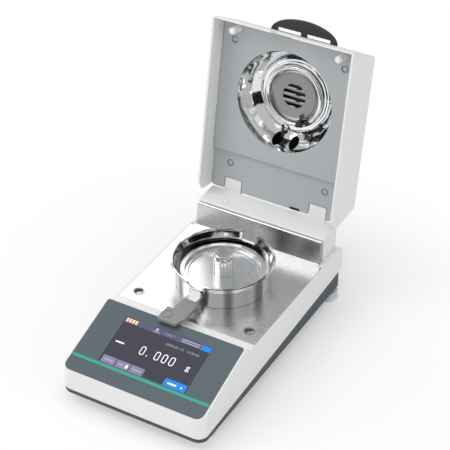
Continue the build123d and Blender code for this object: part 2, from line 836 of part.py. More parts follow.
def pan_handler():
    """Carrying ring, its arm, the plate that fills the shield's notch, and the flat handle."""
    low, high = handler_low_z, handler_low_z + handler_sheet
    ring = upright(handler_outer, low, high) - upright(handler_inner, low - wall, high + wall)
    half = handler_plate_width / 2
    outer_y = handler_plate_y - handler_sheet
    middle = shield_rim_radius * math.sin(math.radians(shield_turn))
    arm = block(middle - half + bend_radius, middle + half - bend_radius, outer_y,
                -handler_inner - handler_sheet, low, high)
    plate = block(middle - half, middle + half, outer_y, handler_plate_y, low, handler_plate_top)
    plate = fillet(plate.edges().filter_by(Axis.Y).group_by(Axis.Z)[-1], bend_radius)
    top = paddle_z + paddle_thick
    paddle = block(paddle_left, neck_right, paddle_end_y, paddle_start_y, paddle_z, top)
    neck = block(neck_left, neck_right, paddle_start_y - paddle_radius, -shield_rim_radius - neck_clear,
                 paddle_z, top)
    root = block(middle - half, middle + half, paddle_start_y, outer_y, paddle_z, top)
    corner = make_face(Polyline((neck_right, paddle_end_y + paddle_cut_length), (neck_right, paddle_end_y),
                                (neck_right - paddle_cut_width, paddle_end_y), close=True))
    flat = paddle + neck - Pos(0, 0, paddle_z) * extrude(corner, paddle_thick)
    handle = fillet(flat.edges().filter_by(Axis.Z).group_by(Axis.Y)[0], paddle_radius) + root
    x, y = (paddle_left + neck_left) / 2 + thumb_radius / 2, (paddle_start_y + paddle_end_y) / 2
    groove = upright(thumb_radius, top - thumb_depth, top + wall, x, y)
    handle -= groove - upright(thumb_radius - 2 * thumb_depth, top - wall, top + wall, x, y)
    return ring + arm + plate + handle


def sample_pan():
    """Pressed pan with a stepped floor and a turned-out lip."""
    z, t = pan_seat_z, pan_sheet
    rim = pan_rim_z
    step = z + pan_depth / 3
    outline = [
        (0, z),
        (pan_floor_radius, z),
        (pan_floor_radius + t, step - t),
        (pan_step_radius, step - t),
        (pan_step_radius + t, rim - pan_lip),
        (pan_radius, rim - pan_lip),
        (pan_radius, rim),
        (pan_step_radius, rim),
        (pan_step_radius - t, step),
        (pan_floor_radius - t, step),
        (pan_floor_radius - 2 * t, z + t),
        (0, z + t),
    ]
    return revolve_profile(outline)


def calibration_weight():
    """Turned weight: body with a fine line, neck and head."""
    z = pan_seat_z + pan_sheet
    r = weight_radius
    top = z + weight_body
    line = z + weight_line
    outline = [
        (0, z),
        (r - weight_edge, z),
        (r, z + weight_edge),
        (r, line),
        (r - weight_line_depth, line + weight_line_depth),
        (r, line + 2 * weight_line_depth),
        (r, top - weight_edge),
        (r - weight_edge, top),
        (weight_neck_radius, top + weight_edge),
        (weight_neck_radius, top + weight_neck - weight_edge),
        (weight_head_radius - weight_edge, top + weight_neck),
        (weight_head_radius, top + weight_neck + weight_edge),
        (weight_head_radius, top + weight_neck + weight_head - weight_edge),
        (weight_head_radius - weight_edge, top + weight_neck + weight_head),
        (0, top + weight_neck + weight_head),
    ]
    return revolve_profile(outline)


def mains_inlet():
    """Appliance inlet with its flange, cavity and three blades."""
    low, high = socket_z - inlet_height / 2, socket_z + inlet_height / 2
    body = block(inlet_x - inlet_width / 2, inlet_x + inlet_width / 2, rear_y - inlet_depth, rear_y, low, high)
    grow = flange_border
    flange = block(inlet_x - inlet_width / 2 - grow, inlet_x + inlet_width / 2 + grow, rear_y + seam_gap / 3,
                   rear_y + flange_thick, low - grow, high + grow)
    body += fillet(flange.edges().filter_by(Axis.Y), grow)
    body += block(inlet_x - inlet_width / 2, inlet_x + inlet_width / 2, rear_y - seam_gap,
                  rear_y + seam_gap, low, high)
    cavity = block(inlet_x - inlet_bore_width / 2, inlet_x + inlet_bore_width / 2,
                   rear_y - inlet_bore_depth, rear_y + 2 * flange_thick,
                   socket_z - inlet_bore_height / 2, socket_z + inlet_bore_height / 2)
    top_edges = cavity.edges().filter_by(Axis.Y).group_by(Axis.Z)[-1]
    body -= chamfer(top_edges, inlet_bore_height / 4)
    for dx, dz in ((-inlet_blade_x, -inlet_blade_z), (inlet_blade_x, -inlet_blade_z), (0, inlet_blade_z)):
        body += block(inlet_x + dx - inlet_blade_thick / 2, inlet_x + dx + inlet_blade_thick / 2,
                      rear_y - inlet_bore_depth - seam_gap, rear_y - inlet_bore_depth + inlet_blade_length,
                      socket_z + dz - inlet_blade_width / 2, socket_z + dz + inlet_blade_width / 2)
    return body


def switch_body():
    """Open case of the mains switch, with its flange and the pin that the rocker turns on."""
    low, high = socket_z - switch_height / 2, socket_z + switch_height / 2
    left, right = switch_x - switch_width / 2, switch_x + switch_width / 2
    body = block(left, right, rear_y - switch_depth, rear_y + seam_gap, low, high)
    grow = flange_border
    flange = block(left - grow, right + grow, rear_y + seam_gap / 3, rear_y + flange_thick, low - grow,
                   high + grow)
    body += fillet(flange.edges().filter_by(Axis.Y), grow / 2)
    body -= block(left + switch_wall, right - switch_wall, rear_y - switch_depth + switch_wall,
                  rear_y + 2 * flange_thick, low + switch_wall, high - switch_wall)
    return body + along_x(post_radius, left + switch_wall / 2, right - switch_wall / 2,
                          rear_y - rocker_sink, socket_z)


def switch_rocker():
    """Rocker of the mains switch, two flats that meet at its pivot line."""
    pivot_y = rear_y - rocker_sink
    reach = switch_height / 2 - switch_wall - rocker_end_gap
    face = rocker_sink + flange_thick
    slope = reach * math.tan(math.radians(rocker_tilt))
    outline = [
        (pivot_y + face, socket_z),
        (pivot_y + face + slope, socket_z + reach),
        (pivot_y + face + slope - rocker_thick, socket_z + reach),
        (pivot_y - rocker_thick, socket_z + rocker_thick),
        (pivot_y - rocker_thick, socket_z - rocker_thick),
        (pivot_y + face + slope - rocker_thick, socket_z - reach),
        (pivot_y + face + slope, socket_z - reach),
    ]
    half = switch_width / 2 - switch_wall - rocker_gap
    body = Pos(switch_x, 0, 0) * across(outline, half)
    body -= along_x(post_radius + pin_fit, switch_x - switch_width, switch_x + switch_width,
                    pivot_y, socket_z)
    return Pos(0, pivot_y, socket_z) * Rot(rocker_tilt, 0, 0) * Pos(0, -pivot_y, -socket_z) * body


def serial_port():
    """Nine-pole socket: plate, D-shaped shell, insert and two jack posts."""
    plate = block(port_x - port_width / 2, port_x + port_width / 2, rear_y - port_depth, rear_y,
                  socket_z - port_height / 2, socket_z + port_height / 2)
    outer = block(port_x - port_shell_width / 2, port_x + port_shell_width / 2, rear_y - seam_gap,
                  rear_y + port_shell_reach, socket_z - port_shell_height / 2,
                  socket_z + port_shell_height / 2)
    outer = fillet(outer.edges().filter_by(Axis.Y), port_shell_height / 4)
    shell = outer - offset_box(outer, port_shell_wall)
    body = plate + shell
    for s in (-1, 1):
        body += along_y(port_jack_radius, rear_y - seam_gap, rear_y + port_jack_length,
                        port_x + s * port_jack_x, socket_z)
    return body


def offset_box(outer, thick):
    """The inside of a shell open to the rear, from the outside's box."""
    size = outer.bounding_box()
    return block(size.min.X + thick, size.max.X - thick, rear_y, size.max.Y + thick,
                 size.min.Z + thick, size.max.Z - thick)


def main_board():
    """Display and control board on the tray, with its chips."""
    z = tray_z + tray_floor + board_lift
    board = block(-board_width / 2, board_width / 2, board_y - board_length / 2,
                  board_y + board_length / 2, z, z + board_thick)
    for sx in (-1, 0, 1):
        x = sx * board_width / 4
        board += block(x - chip_size / 2, x + chip_size / 2, board_y - chip_size / 2,
                       board_y + chip_size / 2, z, z + board_thick + chip_height)
    for sx in (-1, 1):
        x = sx * (board_width / 2 - screw_post_radius)
        board += upright(screw_post_radius / 2, tray_z + tray_floor, z + board_thick / 2, x, board_y)
    return board


def power_supply():
    """Supply board with its transformer and the lamp's controller."""
    z = tray_z + tray_floor + board_lift
    body = block(supply_x - supply_width / 2, supply_x + supply_width / 2, supply_y - supply_length / 2,
                 supply_y + supply_length / 2, z, z + board_thick)
    body += block(supply_x - transformer_size / 2, supply_x + transformer_size / 2,
                  supply_y - transformer_size, supply_y, z, z + transformer_height)
    body += block(supply_x - chip_size / 2, supply_x + chip_size / 2, supply_y + chip_size,
                  supply_y + 2 * chip_size, z, z + transformer_height / 2)
    for sy in (-1, 1):
        y = supply_y + sy * (supply_length / 2 - screw_post_radius)
        body += upright(screw_post_radius / 2, tray_z + tray_floor, z + board_thick / 2, supply_x, y)
    return body


def front_wall_height(depth, inset):
    """Height of the lid's front wall at a depth, or of the surface parallel to it inside."""
    return lid_height - depth * lid_front_slope - inset * math.hypot(1, lid_front_slope)


def lid_outline(inset):
    """Side view of the lid in (depth, height), moved in by inset from its outside."""
    mouth = -wall * (inset > 0)
    back = lid_depth - inset
    return [
        (mouth, front_wall_height(mouth, inset)),
        (back, front_wall_height(back, inset)),
        (back, inset - heel_top_drop),
        (heel_depth, inset - heel_drop),
        (toe_depth, inset - toe_drop),
        (mouth, 0),
    ]


def lid_shell():
    """Moulded lid: drafted walls, chamfered heel, a rear wall cut for the hinge block, and vents."""
    outer = across(lid_outline(0), lid_half)
    back = outer.edges().filter_by(Axis.X).group_by(Axis.Y)[-1]
    outer = fillet(back, lid_edge_radius)
    sides = outer.faces().filter_by(Plane.YZ)
    rear = [edge for face in sides for edge in face.edges() if edge.center().Y > heel_depth + wall]
    outer = fillet(rear, lid_side_radius)
    shell = outer - across(lid_outline(lid_wall), lid_half - lid_wall)
    heel_start = hinge_depth + math.hypot(lug_forward, lug_rise) + notch_gap
    shell -= block(-lid_half + lid_wall, lid_half - lid_wall, -wall, heel_start, -2 * heel_drop, lid_wall)
    notch_low, notch_high = neck_left - handler_notch_gap, neck_right + handler_notch_gap
    notch = block(notch_low, notch_high, -wall, paddle_z + paddle_thick + handler_notch_gap - rim_closed_z,
                  lid_height - 4 * wall, lid_height + wall)
    shell -= fillet(notch.edges().filter_by(Axis.Z).group_by(Axis.Y)[-1], wall)
    middle = (vent_count - 1) / 2
    for index in range(vent_count):
        h = reflector_height + (index - middle) * slot_pitch
        for x in (-vent_x, vent_x):
            shell -= block(x - vent_length / 2, x + vent_length / 2, lid_depth - 2 * lid_wall,
                           lid_depth + wall, h - vent_width / 2, h + vent_width / 2)
    for x, h, depth in liner_screw_places():
        back_wall = lid_depth - lid_wall
        seat = depth + liner_thick + screw_recess_depth
        post = along_y(boss_radius, seat, back_wall + lid_wall / 2, x, h)
        shell += post - along_y(screw_shank_radius, depth, seat + 2 * screw_shank_length, x, h)
    return shell


def liner_screw_places():
    """Four screws through the liner: side, height and the depth of their sheet."""
    return [
        (upper_screw_from_side - lid_half, lid_height - upper_screw_from_top, liner_depth),
        (lid_half - upper_screw_from_side, lid_height - upper_screw_from_top, liner_depth),
        (lower_screw_from_side - lid_half, lower_screw_height, liner_low_depth),
        (lid_half - lower_screw_from_side, lower_screw_height, liner_low_depth),
    ]


def recess_cup(x, h, depth):
    """Pressed recess round a liner screw, behind the sheet."""
    radius = screw_recess_radius
    cup = along_y(radius + recess_wall, depth, depth + liner_thick + screw_recess_depth - pin_fit, x, h)
    cup -= along_y(radius, depth - wall, depth + screw_recess_depth, x, h)
    return cup - along_y(screw_shank_radius + pin_fit, depth, depth + 4 * wall, x, h)


def lid_liner():
    """Upper sheet of the liner, round the reflector, with pressed screw recesses."""
    half = lid_half - lid_wall - liner_gap
    top = front_wall_height(liner_depth + liner_thick, lid_wall) - liner_gap
    plate = block(-half, half, liner_depth, liner_depth + liner_thick, liner_seam, top)
    plate += block(-half, half, liner_depth, liner_low_depth - liner_gap, liner_seam,
                   liner_seam + liner_thick)
    plate -= along_y(reflector_radius, 0, lid_depth, 0, reflector_height)
    for x, h, depth in liner_screw_places()[:2]:
        plate -= along_y(screw_recess_radius, 0, lid_depth, x, h)
        plate += recess_cup(x, h, depth)
    return plate


def lid_liner_lower():
    """Lower strip of the liner over the hinge, notched for the knuckles."""
    half = lid_half - lid_wall - liner_gap
    top = liner_seam - liner_gap
    plate = block(-half, half, liner_low_depth, liner_low_depth + liner_thick, liner_end, top)
    corners = plate.edges().filter_by(Axis.Y).group_by(Axis.Z)[0]
    plate = chamfer(corners, wall)
    for sx in (-1, 1):
        x = sx * knuckle_x
        reach = knuckle_width / 2 + notch_gap
        plate -= block(x - reach, x + reach, 0, lid_depth, 2 * liner_end, notch_top)
    plate -= block(clip_x - clip_width / 2, clip_x + clip_width / 2, 0, lid_depth, 2 * liner_end,
                   liner_end + clip_height)
    for x, h, depth in liner_screw_places()[2:]:
        plate -= along_y(screw_recess_radius, 0, lid_depth, x, h)
        plate += recess_cup(x, h, depth)
    return plate


def cable_clip():
    """Dark clip in the lower strip's edge, where the lamp's cable passes."""
    low, high = clip_x - clip_width / 2 + seam_gap / 3, clip_x + clip_width / 2 - seam_gap / 3
    return block(low, high, liner_low_depth - seam_gap, liner_low_depth + clip_thick,
                 liner_end, liner_end + clip_height - seam_gap / 3)


def liner_screws():
    """Screws at the bottom of the liner's recesses."""
    screws = []
    for x, h, depth in liner_screw_places():
        seat = depth + screw_recess_depth
        head = along_y(screw_head_radius, seat - screw_head_height, seat, x, h)
        head = chamfer(head.edges().sort_by(Axis.Y)[0], screw_head_height / 3)
        screws.append(head + along_y(screw_shank_radius - pin_fit, seat, seat + screw_shank_length, x, h))
    return Compound(screws)


def reflector_bowl():
    """Stamped bowl behind the liner, with its round holes and the middle vent."""
    r, floor = reflector_radius, liner_depth + bowl_depth
    start = liner_depth + liner_thick
    t = bowl_sheet
    shoulder, shoulder_depth = bowl_shoulder_radius, floor - bowl_shoulder_rise
    outline = [
        (slot_field + wall, floor),
        (bead_radius - bead_half - bead_spread, floor),
        (bead_radius - bead_half, floor - bead_rise),
        (bead_radius + bead_half, floor - bead_rise),
        (bead_radius + bead_half + bead_spread, floor),
        (bowl_floor_radius, floor),
        (shoulder, shoulder_depth),
        (r - t, start + bowl_mouth),
        (r, start),
        (r + bowl_flange, start),
        (r + bowl_flange, start + t),
        (r + t, start + t),
        (r, start + bowl_mouth + t),
        (shoulder + t, shoulder_depth + t),
        (bowl_floor_radius, floor + t),
        (slot_field + wall, floor + t),
    ]
    bowl = Pos(0, 0, reflector_height) * Rot(-90, 0, 0) * revolve_profile(outline)
    for sx in (-1, 1):
        bowl -= along_y(post_hole_radius, liner_depth, lid_depth, sx * post_hole_x, post_hole_height)
    for x, h in cap_posts():
        bowl -= along_y(post_radius + seam_gap, liner_depth, lid_depth, x, h)
    return bowl - along_y(2 * probe_radius, liner_depth, lid_depth, probe_x, probe_height)


def reflector_disc():
    """Dished disc in the middle of the bowl, with four rows of slots."""
    floor = liner_depth + bowl_depth
    t = disc_thick
    outline = [
        (0, floor - disc_rise),
        (disc_radius - disc_rise, floor - disc_rise),
        (disc_radius - disc_rise / 2, floor - disc_rise - t),
        (disc_radius, floor - disc_rise),
        (disc_radius, floor - seam_gap / 3),
        (disc_radius - t, floor - seam_gap / 3),
        (disc_radius - t, floor - disc_rise + t),
        (0, floor - disc_rise + t),
    ]
    disc = Pos(0, 0, reflector_height) * Rot(-90, 0, 0) * revolve_profile(outline)
    field = along_y(slot_field, liner_depth, lid_depth, 0, reflector_height)
    for row in range(slot_rows):
        h = reflector_height + (row - (slot_rows - 1) / 2) * slot_pitch
        slot = block(-slot_field, slot_field, liner_depth, lid_depth, h - slot_width / 2, h + slot_width / 2)
        disc -= slot & field
    return disc


def lamp_centre_depth():
    """Depth of the lamp's centre plane in the lid."""
    return liner_depth + bowl_depth - lamp_lift


def ring_place(turn):
    """Frame on the lamp's ring, a turn from its lowest point towards +X, with Z along the ring."""
    angle = math.radians(turn)
    x = lamp_radius * math.sin(angle)
    h = reflector_height - lamp_radius * math.cos(angle)
    return Pos(x, lamp_centre_depth(), h) * Rot(0, 90 - turn, 0)


def ring_lamp():
    """Halogen lamp bent into a ring that stays open between its two ends."""
    ring = Torus(lamp_radius, lamp_tube, major_angle=360 - (lamp_end_turn - lamp_start_turn))
    ring = Rot(-90, 0, 0) * Rot(0, 0, 90 - lamp_start_turn) * ring
    return Pos(0, lamp_centre_depth(), reflector_height) * ring


def cap_frames():
    """Frames in the middle of the two caps, which lie in the ring's gap."""
    offset = cap_length / 2 + seam_gap / 3
    return [ring_place(lamp_start_turn) * Pos(0, 0, offset), ring_place(lamp_end_turn) * Pos(0, 0, -offset)]


def cap_posts():
    """Side and height of the posts behind the two caps."""
    return [(frame.position.X, frame.position.Z) for frame in cap_frames()]


def lamp_caps():
    """Holder in the ring's gap: two caps on the lamp's ends, a bridge between them and a stem."""
    first, second = cap_frames()
    near, far = first.position, second.position
    place = Pos((near.X + far.X) / 2, lamp_centre_depth(), (near.Z + far.Z) / 2)
    bridge = Box(2 * post_radius, 2 * post_radius, (far - near).length)
    body = first * Cylinder(cap_radius, cap_length) + second * Cylinder(cap_radius, cap_length)
    body += place * Rot(0, 90 - (lamp_start_turn + lamp_end_turn) / 2, 0) * bridge
    depth = lamp_centre_depth() - stem_forward
    return body + Pos(stem_x, depth, (near.Z + stem_height) / 2) * Cylinder(stem_radius, stem_height - near.Z)


def lamp_posts():
    """Posts behind the two caps, and the rod that props the ring from the left hole."""
    back = lid_depth - lid_wall - seam_gap
    centre = lamp_centre_depth()
    posts = [along_y(post_radius, centre + cap_radius + seam_gap / 3, back, x, h) for x, h in cap_posts()]
    depth = centre - rod_forward
    drop = math.sqrt(lamp_radius ** 2 - rod_x ** 2) + lamp_tube + seam_gap
    top = reflector_height - drop
    rod = along_y(post_radius, depth, back, rod_x, rod_height)
    rod += Pos(rod_x, depth, (rod_height + top) / 2) * Cylinder(post_radius, top - rod_height)
    return Compound(posts + [rod + Pos(rod_x, depth, rod_height) * Sphere(post_radius)])


def temperature_probe():
    """Probe that stands out of the bowl's lower side."""
    depth = liner_depth + probe_depth
    body = along_y(probe_radius, depth, lid_depth - lid_wall, probe_x, probe_height)
    tip = Pos(probe_x, depth, probe_height + probe_length / 2) * Cylinder(probe_radius, probe_length)
    return body + tip + Pos(probe_x, depth, probe_height) * Sphere(probe_radius)


def bumper_pegs():
    """Soft pegs at the liner's upper corners, which meet the deck side when the lid shuts."""
    low = liner_depth - peg_length
    outline = [
        (0, low),
        (peg_radius - edge_radius, low),
        (peg_radius, low + edge_radius),
        (peg_radius + edge_radius / 4, liner_depth - edge_radius),
        (peg_base_radius, liner_depth - edge_radius),
        (peg_base_radius, liner_depth),
        (0, liner_depth),
    ]
    peg = Pos(peg_x, 0, peg_height) * Rot(-90, 0, 0) * revolve_profile(outline)
    return mirrored(peg)


def handle_plane():
    """Depth and height at which the handle leaves the lid's front wall."""
    depth = lid_depth - lid_wall - seam_gap - handle_thick
    height = lid_height - lid_taper * (depth + handle_thick / 2) / lid_depth
    return depth, height


def lid_handle():
    """Half-moon plate through the front wall, with two finger windows and a rib between."""
    depth, base = handle_plane()
    moon = Pos(0, depth, base) * Rot(-90, 0, 0) * extrude(Ellipse(handle_half, handle_reach), handle_thick)
    moon &= block(-handle_half, handle_half, depth, depth + handle_thick, base, base + handle_reach)
    rounding = moon.edges().filter_by(lambda edge: edge.geom_type == GeomType.ELLIPSE)
    moon = fillet(rounding, handle_thick / 4)
    foot = block(-handle_half + handle_thick, handle_half - handle_thick, depth, depth + handle_thick,
                 base - handle_seat, base)
    plate = moon + foot
    for sx in (-1, 1):
        low = sx * (window_rib + window_length) / 2
        window = block(low - window_length / 2, low + window_length / 2, 0, lid_depth,
                       base, base + window_height)
        plate -= fillet(window.edges().filter_by(Axis.Y), window_radius)
    return plate


def handle_slot(shell):
    """Cuts the slot for the handle's foot into the lid's front wall."""
    depth, base = handle_plane()
    return shell - block(-handle_half - seam_gap, handle_half + seam_gap, depth - seam_gap / 3,
                         depth + handle_thick + seam_gap / 3, base - handle_seat, base + handle_reach)


def handle_screws():
    """Two screws that hold the handle's foot inside the lid."""
    depth, base = handle_plane()
    h = base - handle_seat + screw_head_radius + seam_gap
    head = along_y(screw_head_radius, depth - screw_head_height, depth - pin_fit, handle_half / 2, h)
    return mirrored(head)


def hinge_brackets():
    """Folded brackets on the lid, two ears on either side of each knuckle."""
    parts = []
    gap = knuckle_width / 2 + notch_gap
    back = lid_depth - lid_wall - seam_gap
    depth = liner_low_depth + liner_thick + seam_gap
    for sx in (-1, 1):
        x = sx * knuckle_x
        body = block(x - gap - ear_thick, x + gap + ear_thick, back - ear_thick, back, lid_wall, liner_seam)
        for side in (-1, 1):
            near, far = x + side * gap, x + side * (gap + ear_thick)
            body += block(min(near, far), max(near, far), depth, back, -hinge_below, liner_seam)
        body &= across(lid_outline(lid_wall + seam_gap), lid_half)
        for side in (-1, 1):
            near, far = x + side * gap, x + side * (gap + ear_thick)
            nose = along_x(nose_radius, min(near, far), max(near, far), hinge_depth, -hinge_below)
            body += nose & block(-lid_half, lid_half, depth, lid_depth, -2 * heel_drop, lid_height)
        body -= along_x(pin_radius, x - 2 * gap, x + 2 * gap, hinge_depth, -hinge_below)
        screw_x = sx * (lid_half - lower_screw_from_side)
        body -= along_y(boss_radius + seam_gap, 0, lid_depth, screw_x, lower_screw_height)
        parts.append(body)
    return Compound(parts)


def hinge_pins():
    """Pins fixed in the bracket's ears, which turn in the knuckles' bushes."""
    reach = knuckle_width / 2 + notch_gap + ear_thick
    return mirrored(along_x(pin_radius, knuckle_x - reach, knuckle_x + reach, hinge_depth, -hinge_below))


def lid_pieces():
    """Every piece of the lid, drawn in the lid's own frame."""
    return {
        "lid_shell": handle_slot(lid_shell()),
        "lid_liner": lid_liner(),
        "lid_liner_lower": lid_liner_lower(),
        "cable_clip": cable_clip(),
        "liner_screws": liner_screws(),
        "reflector_bowl": reflector_bowl(),
        "reflector_disc": reflector_disc(),
        "ring_lamp": ring_lamp(),
        "lamp_caps": lamp_caps(),
        "lamp_posts": lamp_posts(),
        "temperature_probe": temperature_probe(),
        "bumper_pegs": bumper_pegs(),
        "lid_handle": lid_handle(),
        "handle_screws": handle_screws(),
        "hinge_brackets": hinge_brackets(),
        "hinge_pins": hinge_pins(),
    }


def base_pieces():
    """Every other piece, drawn where it stands."""
    pieces = {
        "upper_housing": upper_housing(),
        "bottom_tray": bottom_tray(),
        "hinge_block": hinge_block(),
        "hinge_bushes": hinge_bushes(),
        "plunger_guide": plunger_guide(),
        "lid_plunger": lid_plunger(),
        "deck_plate": deck_plate(),
        "deck_cups": deck_cups(),
        "deck_screws": deck_screws(),
        "display_overlay": display_overlay(),
        "lcd_screen": lcd_screen(),
        "lcd_frame": lcd_frame(),
        "main_board": main_board(),
        "power_supply": power_supply(),
        "load_cell": load_cell(),
        "load_cell_mounts": load_cell_mounts(),
        "weighing_spindle": weighing_spindle(),
        "pan_support": pan_support(),
        "draft_shield": draft_shield(),
        "pan_handler": pan_handler(),
        "sample_pan": sample_pan(),
        "calibration_weight": calibration_weight(),
        "mains_inlet": mains_inlet(),
        "switch_body": switch_body(),
        "switch_rocker": switch_rocker(),
        "serial_port": serial_port(),
        "tray_screws": tray_screws(),
        "foot_inserts": foot_inserts(),
    }
    for name, x, y in foot_places():
        pieces["foot_pad_" + name] = foot_pad(x, y)
        pieces["foot_wheel_" + name] = foot_wheel(x, y)
    return pieces


def main():
    """Builds every piece, centres the whole on its box and writes one file for each."""
    pieces = base_pieces()
    for name, shape in lid_pieces().items():
        pieces[name] = lid_frame * shape
    boxes = [shape.bounding_box() for shape in pieces.values()]
    middle = (min(box.min.Y for box in boxes) + max(box.max.Y for box in boxes)) / 2
    os.makedirs("parts", exist_ok=True)
    for name, shape in pieces.items():
        export_step(Pos(0, -middle, 0) * shape, f"parts/{name}.step")
    print("pan axis at y =", round(-middle, 3))
    print("hinge axis at y, z =", round(hinge_y - middle, 3), round(hinge_z, 3))
    print("rocker pivot at y, z =", round(rear_y - rocker_sink - middle, 3), socket_z)


if __name__ == "__main__":
    main()
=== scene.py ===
"""Looks of the moisture analyzer: finishes for every piece, the lit screen and the small trim."""
import math

import bpy
from mathutils import Matrix, Vector


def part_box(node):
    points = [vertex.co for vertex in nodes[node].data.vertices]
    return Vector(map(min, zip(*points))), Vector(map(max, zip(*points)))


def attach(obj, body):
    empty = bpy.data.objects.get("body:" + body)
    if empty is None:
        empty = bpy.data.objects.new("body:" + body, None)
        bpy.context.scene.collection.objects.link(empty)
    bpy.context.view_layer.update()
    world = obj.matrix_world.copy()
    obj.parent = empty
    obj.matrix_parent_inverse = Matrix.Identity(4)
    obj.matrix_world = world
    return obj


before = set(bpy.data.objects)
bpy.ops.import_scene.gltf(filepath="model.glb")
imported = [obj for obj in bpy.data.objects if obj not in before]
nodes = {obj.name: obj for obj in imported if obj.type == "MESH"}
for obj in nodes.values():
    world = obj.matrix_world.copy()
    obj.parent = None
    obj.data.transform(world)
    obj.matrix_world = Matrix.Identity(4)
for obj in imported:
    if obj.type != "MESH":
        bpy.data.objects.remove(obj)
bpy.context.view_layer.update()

MM = 0.001

# The pan's axis, from which the panel, the lid and the camera are placed
PAN_LOW, PAN_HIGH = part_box("sample_pan")
AXIS_Y = (PAN_LOW[1] + PAN_HIGH[1]) / 2

# Sloping panel, in millimetres: its lower front edge from the pan's axis, and its length up the slope
PANEL_FRONT = 201.0
PANEL_LOW = 46.0
PANEL_TILT = math.radians(18.0)
PANEL_SLANT = 101.0
PANEL_FOOT = Vector((0.0, AXIS_Y - PANEL_FRONT * MM, PANEL_LOW * MM))
SCREEN_FACE = -0.3          # screen's glass below the panel's face
FOIL_FACE = 0.0

# Print on the panel, in millimetres: each kind's thickness, its broken edge and its lift over the face
PRINT_THICK = 0.06
PRINT_LIFT = 0.01
FIGURE_EDGE = 0.012
FIGURE_ROUND = 0.46         # a zero's corner radius, as a share of its width
MARK_THICK = 0.08
MARK_EDGE = 0.015
MARK_LIFT = 0.05
LETTER_LIFT = 0.02
LETTER_HALF = 0.01          # half the thickness of new lettering, before it is fitted

# Open lid, in millimetres: the hinge line, and where it lies in the lid's own depth and height
HINGE_BEHIND = 127.0
HINGE_HIGH = 105.7
HINGE_DEPTH = 33.0
HINGE_BELOW = 7.5
LID_LEAN = math.radians(10.0)
HINGE_LINE = Vector((0.0, AXIS_Y + HINGE_BEHIND * MM, HINGE_HIGH * MM))

# Painted shade inside the lid, a near-black patch on its back wall, in metres: half its width, its heights,
# its depths and its soft edge
PATCH_HALF = 0.070
PATCH_LOW = 0.042
PATCH_HIGH = 0.182
PATCH_FRONT = 0.050
PATCH_BACK = 0.0630
PATCH_BLUR = 0.002

# Front edge of the carrier's bare metal, in metres from the pan's axis
PAINT_EDGE = -0.0690
PAINT_BLUR = 0.001

# Floor, in metres: its side, and the radii between which it fades to white from a first share
FLOOR_SIDE = 16.0
FLOOR_NEAR = 0.12
FLOOR_FAR = 0.42
FLOOR_WHITE = 0.35

BACKDROP_STRENGTH = 0.55    # light from all round

# Camera, in metres
CAMERA_PLACE = (0.6972, AXIS_Y - 1.208, 1.1359)
CAMERA_AIM = (0.0079, AXIS_Y - 0.0093, 0.1532)
CAMERA_LENS = 121.2         # millimetres, like the sensor
CAMERA_SENSOR = 36.0


def srgb(red, green, blue):
    """A colour given as it looks on a screen, 0 to 255, for a shader."""
    def linear(level):
        share = level / 255
        return share / 12.92 if share <= 0.04045 else ((share + 0.055) / 1.055) ** 2.4
    return (linear(red), linear(green), linear(blue), 1.0)


def shade(colour, factor):
    """A colour made lighter or darker by a factor."""
    return tuple(min(1.0, level * factor) for level in colour[:3]) + (1.0,)


def grey(level):
    """A neutral colour for a shader."""
    return (level, level, level, 1.0)


WHITE = grey(1.0)


class Signal:
    """A number on its way through a finish. Arithmetic on it adds Math nodes."""

    def __init__(self, finish, socket):
        self.finish = finish
        self.socket = socket

    def __add__(self, other):
        return self.finish.maths("ADD", self, other)

    __radd__ = __add__

    def __sub__(self, other):
        return self.finish.maths("SUBTRACT", self, other)

    def __rsub__(self, other):
        return self.finish.maths("SUBTRACT", other, self)

    def __mul__(self, other):
        return self.finish.maths("MULTIPLY", self, other)

    __rmul__ = __mul__

    def __pow__(self, other):
        return self.finish.maths("POWER", self, other)

    def wave(self):
        return self.finish.maths("SINE", self, 0.0)

    def size(self):
        return self.finish.maths("ABSOLUTE", self, 0.0)


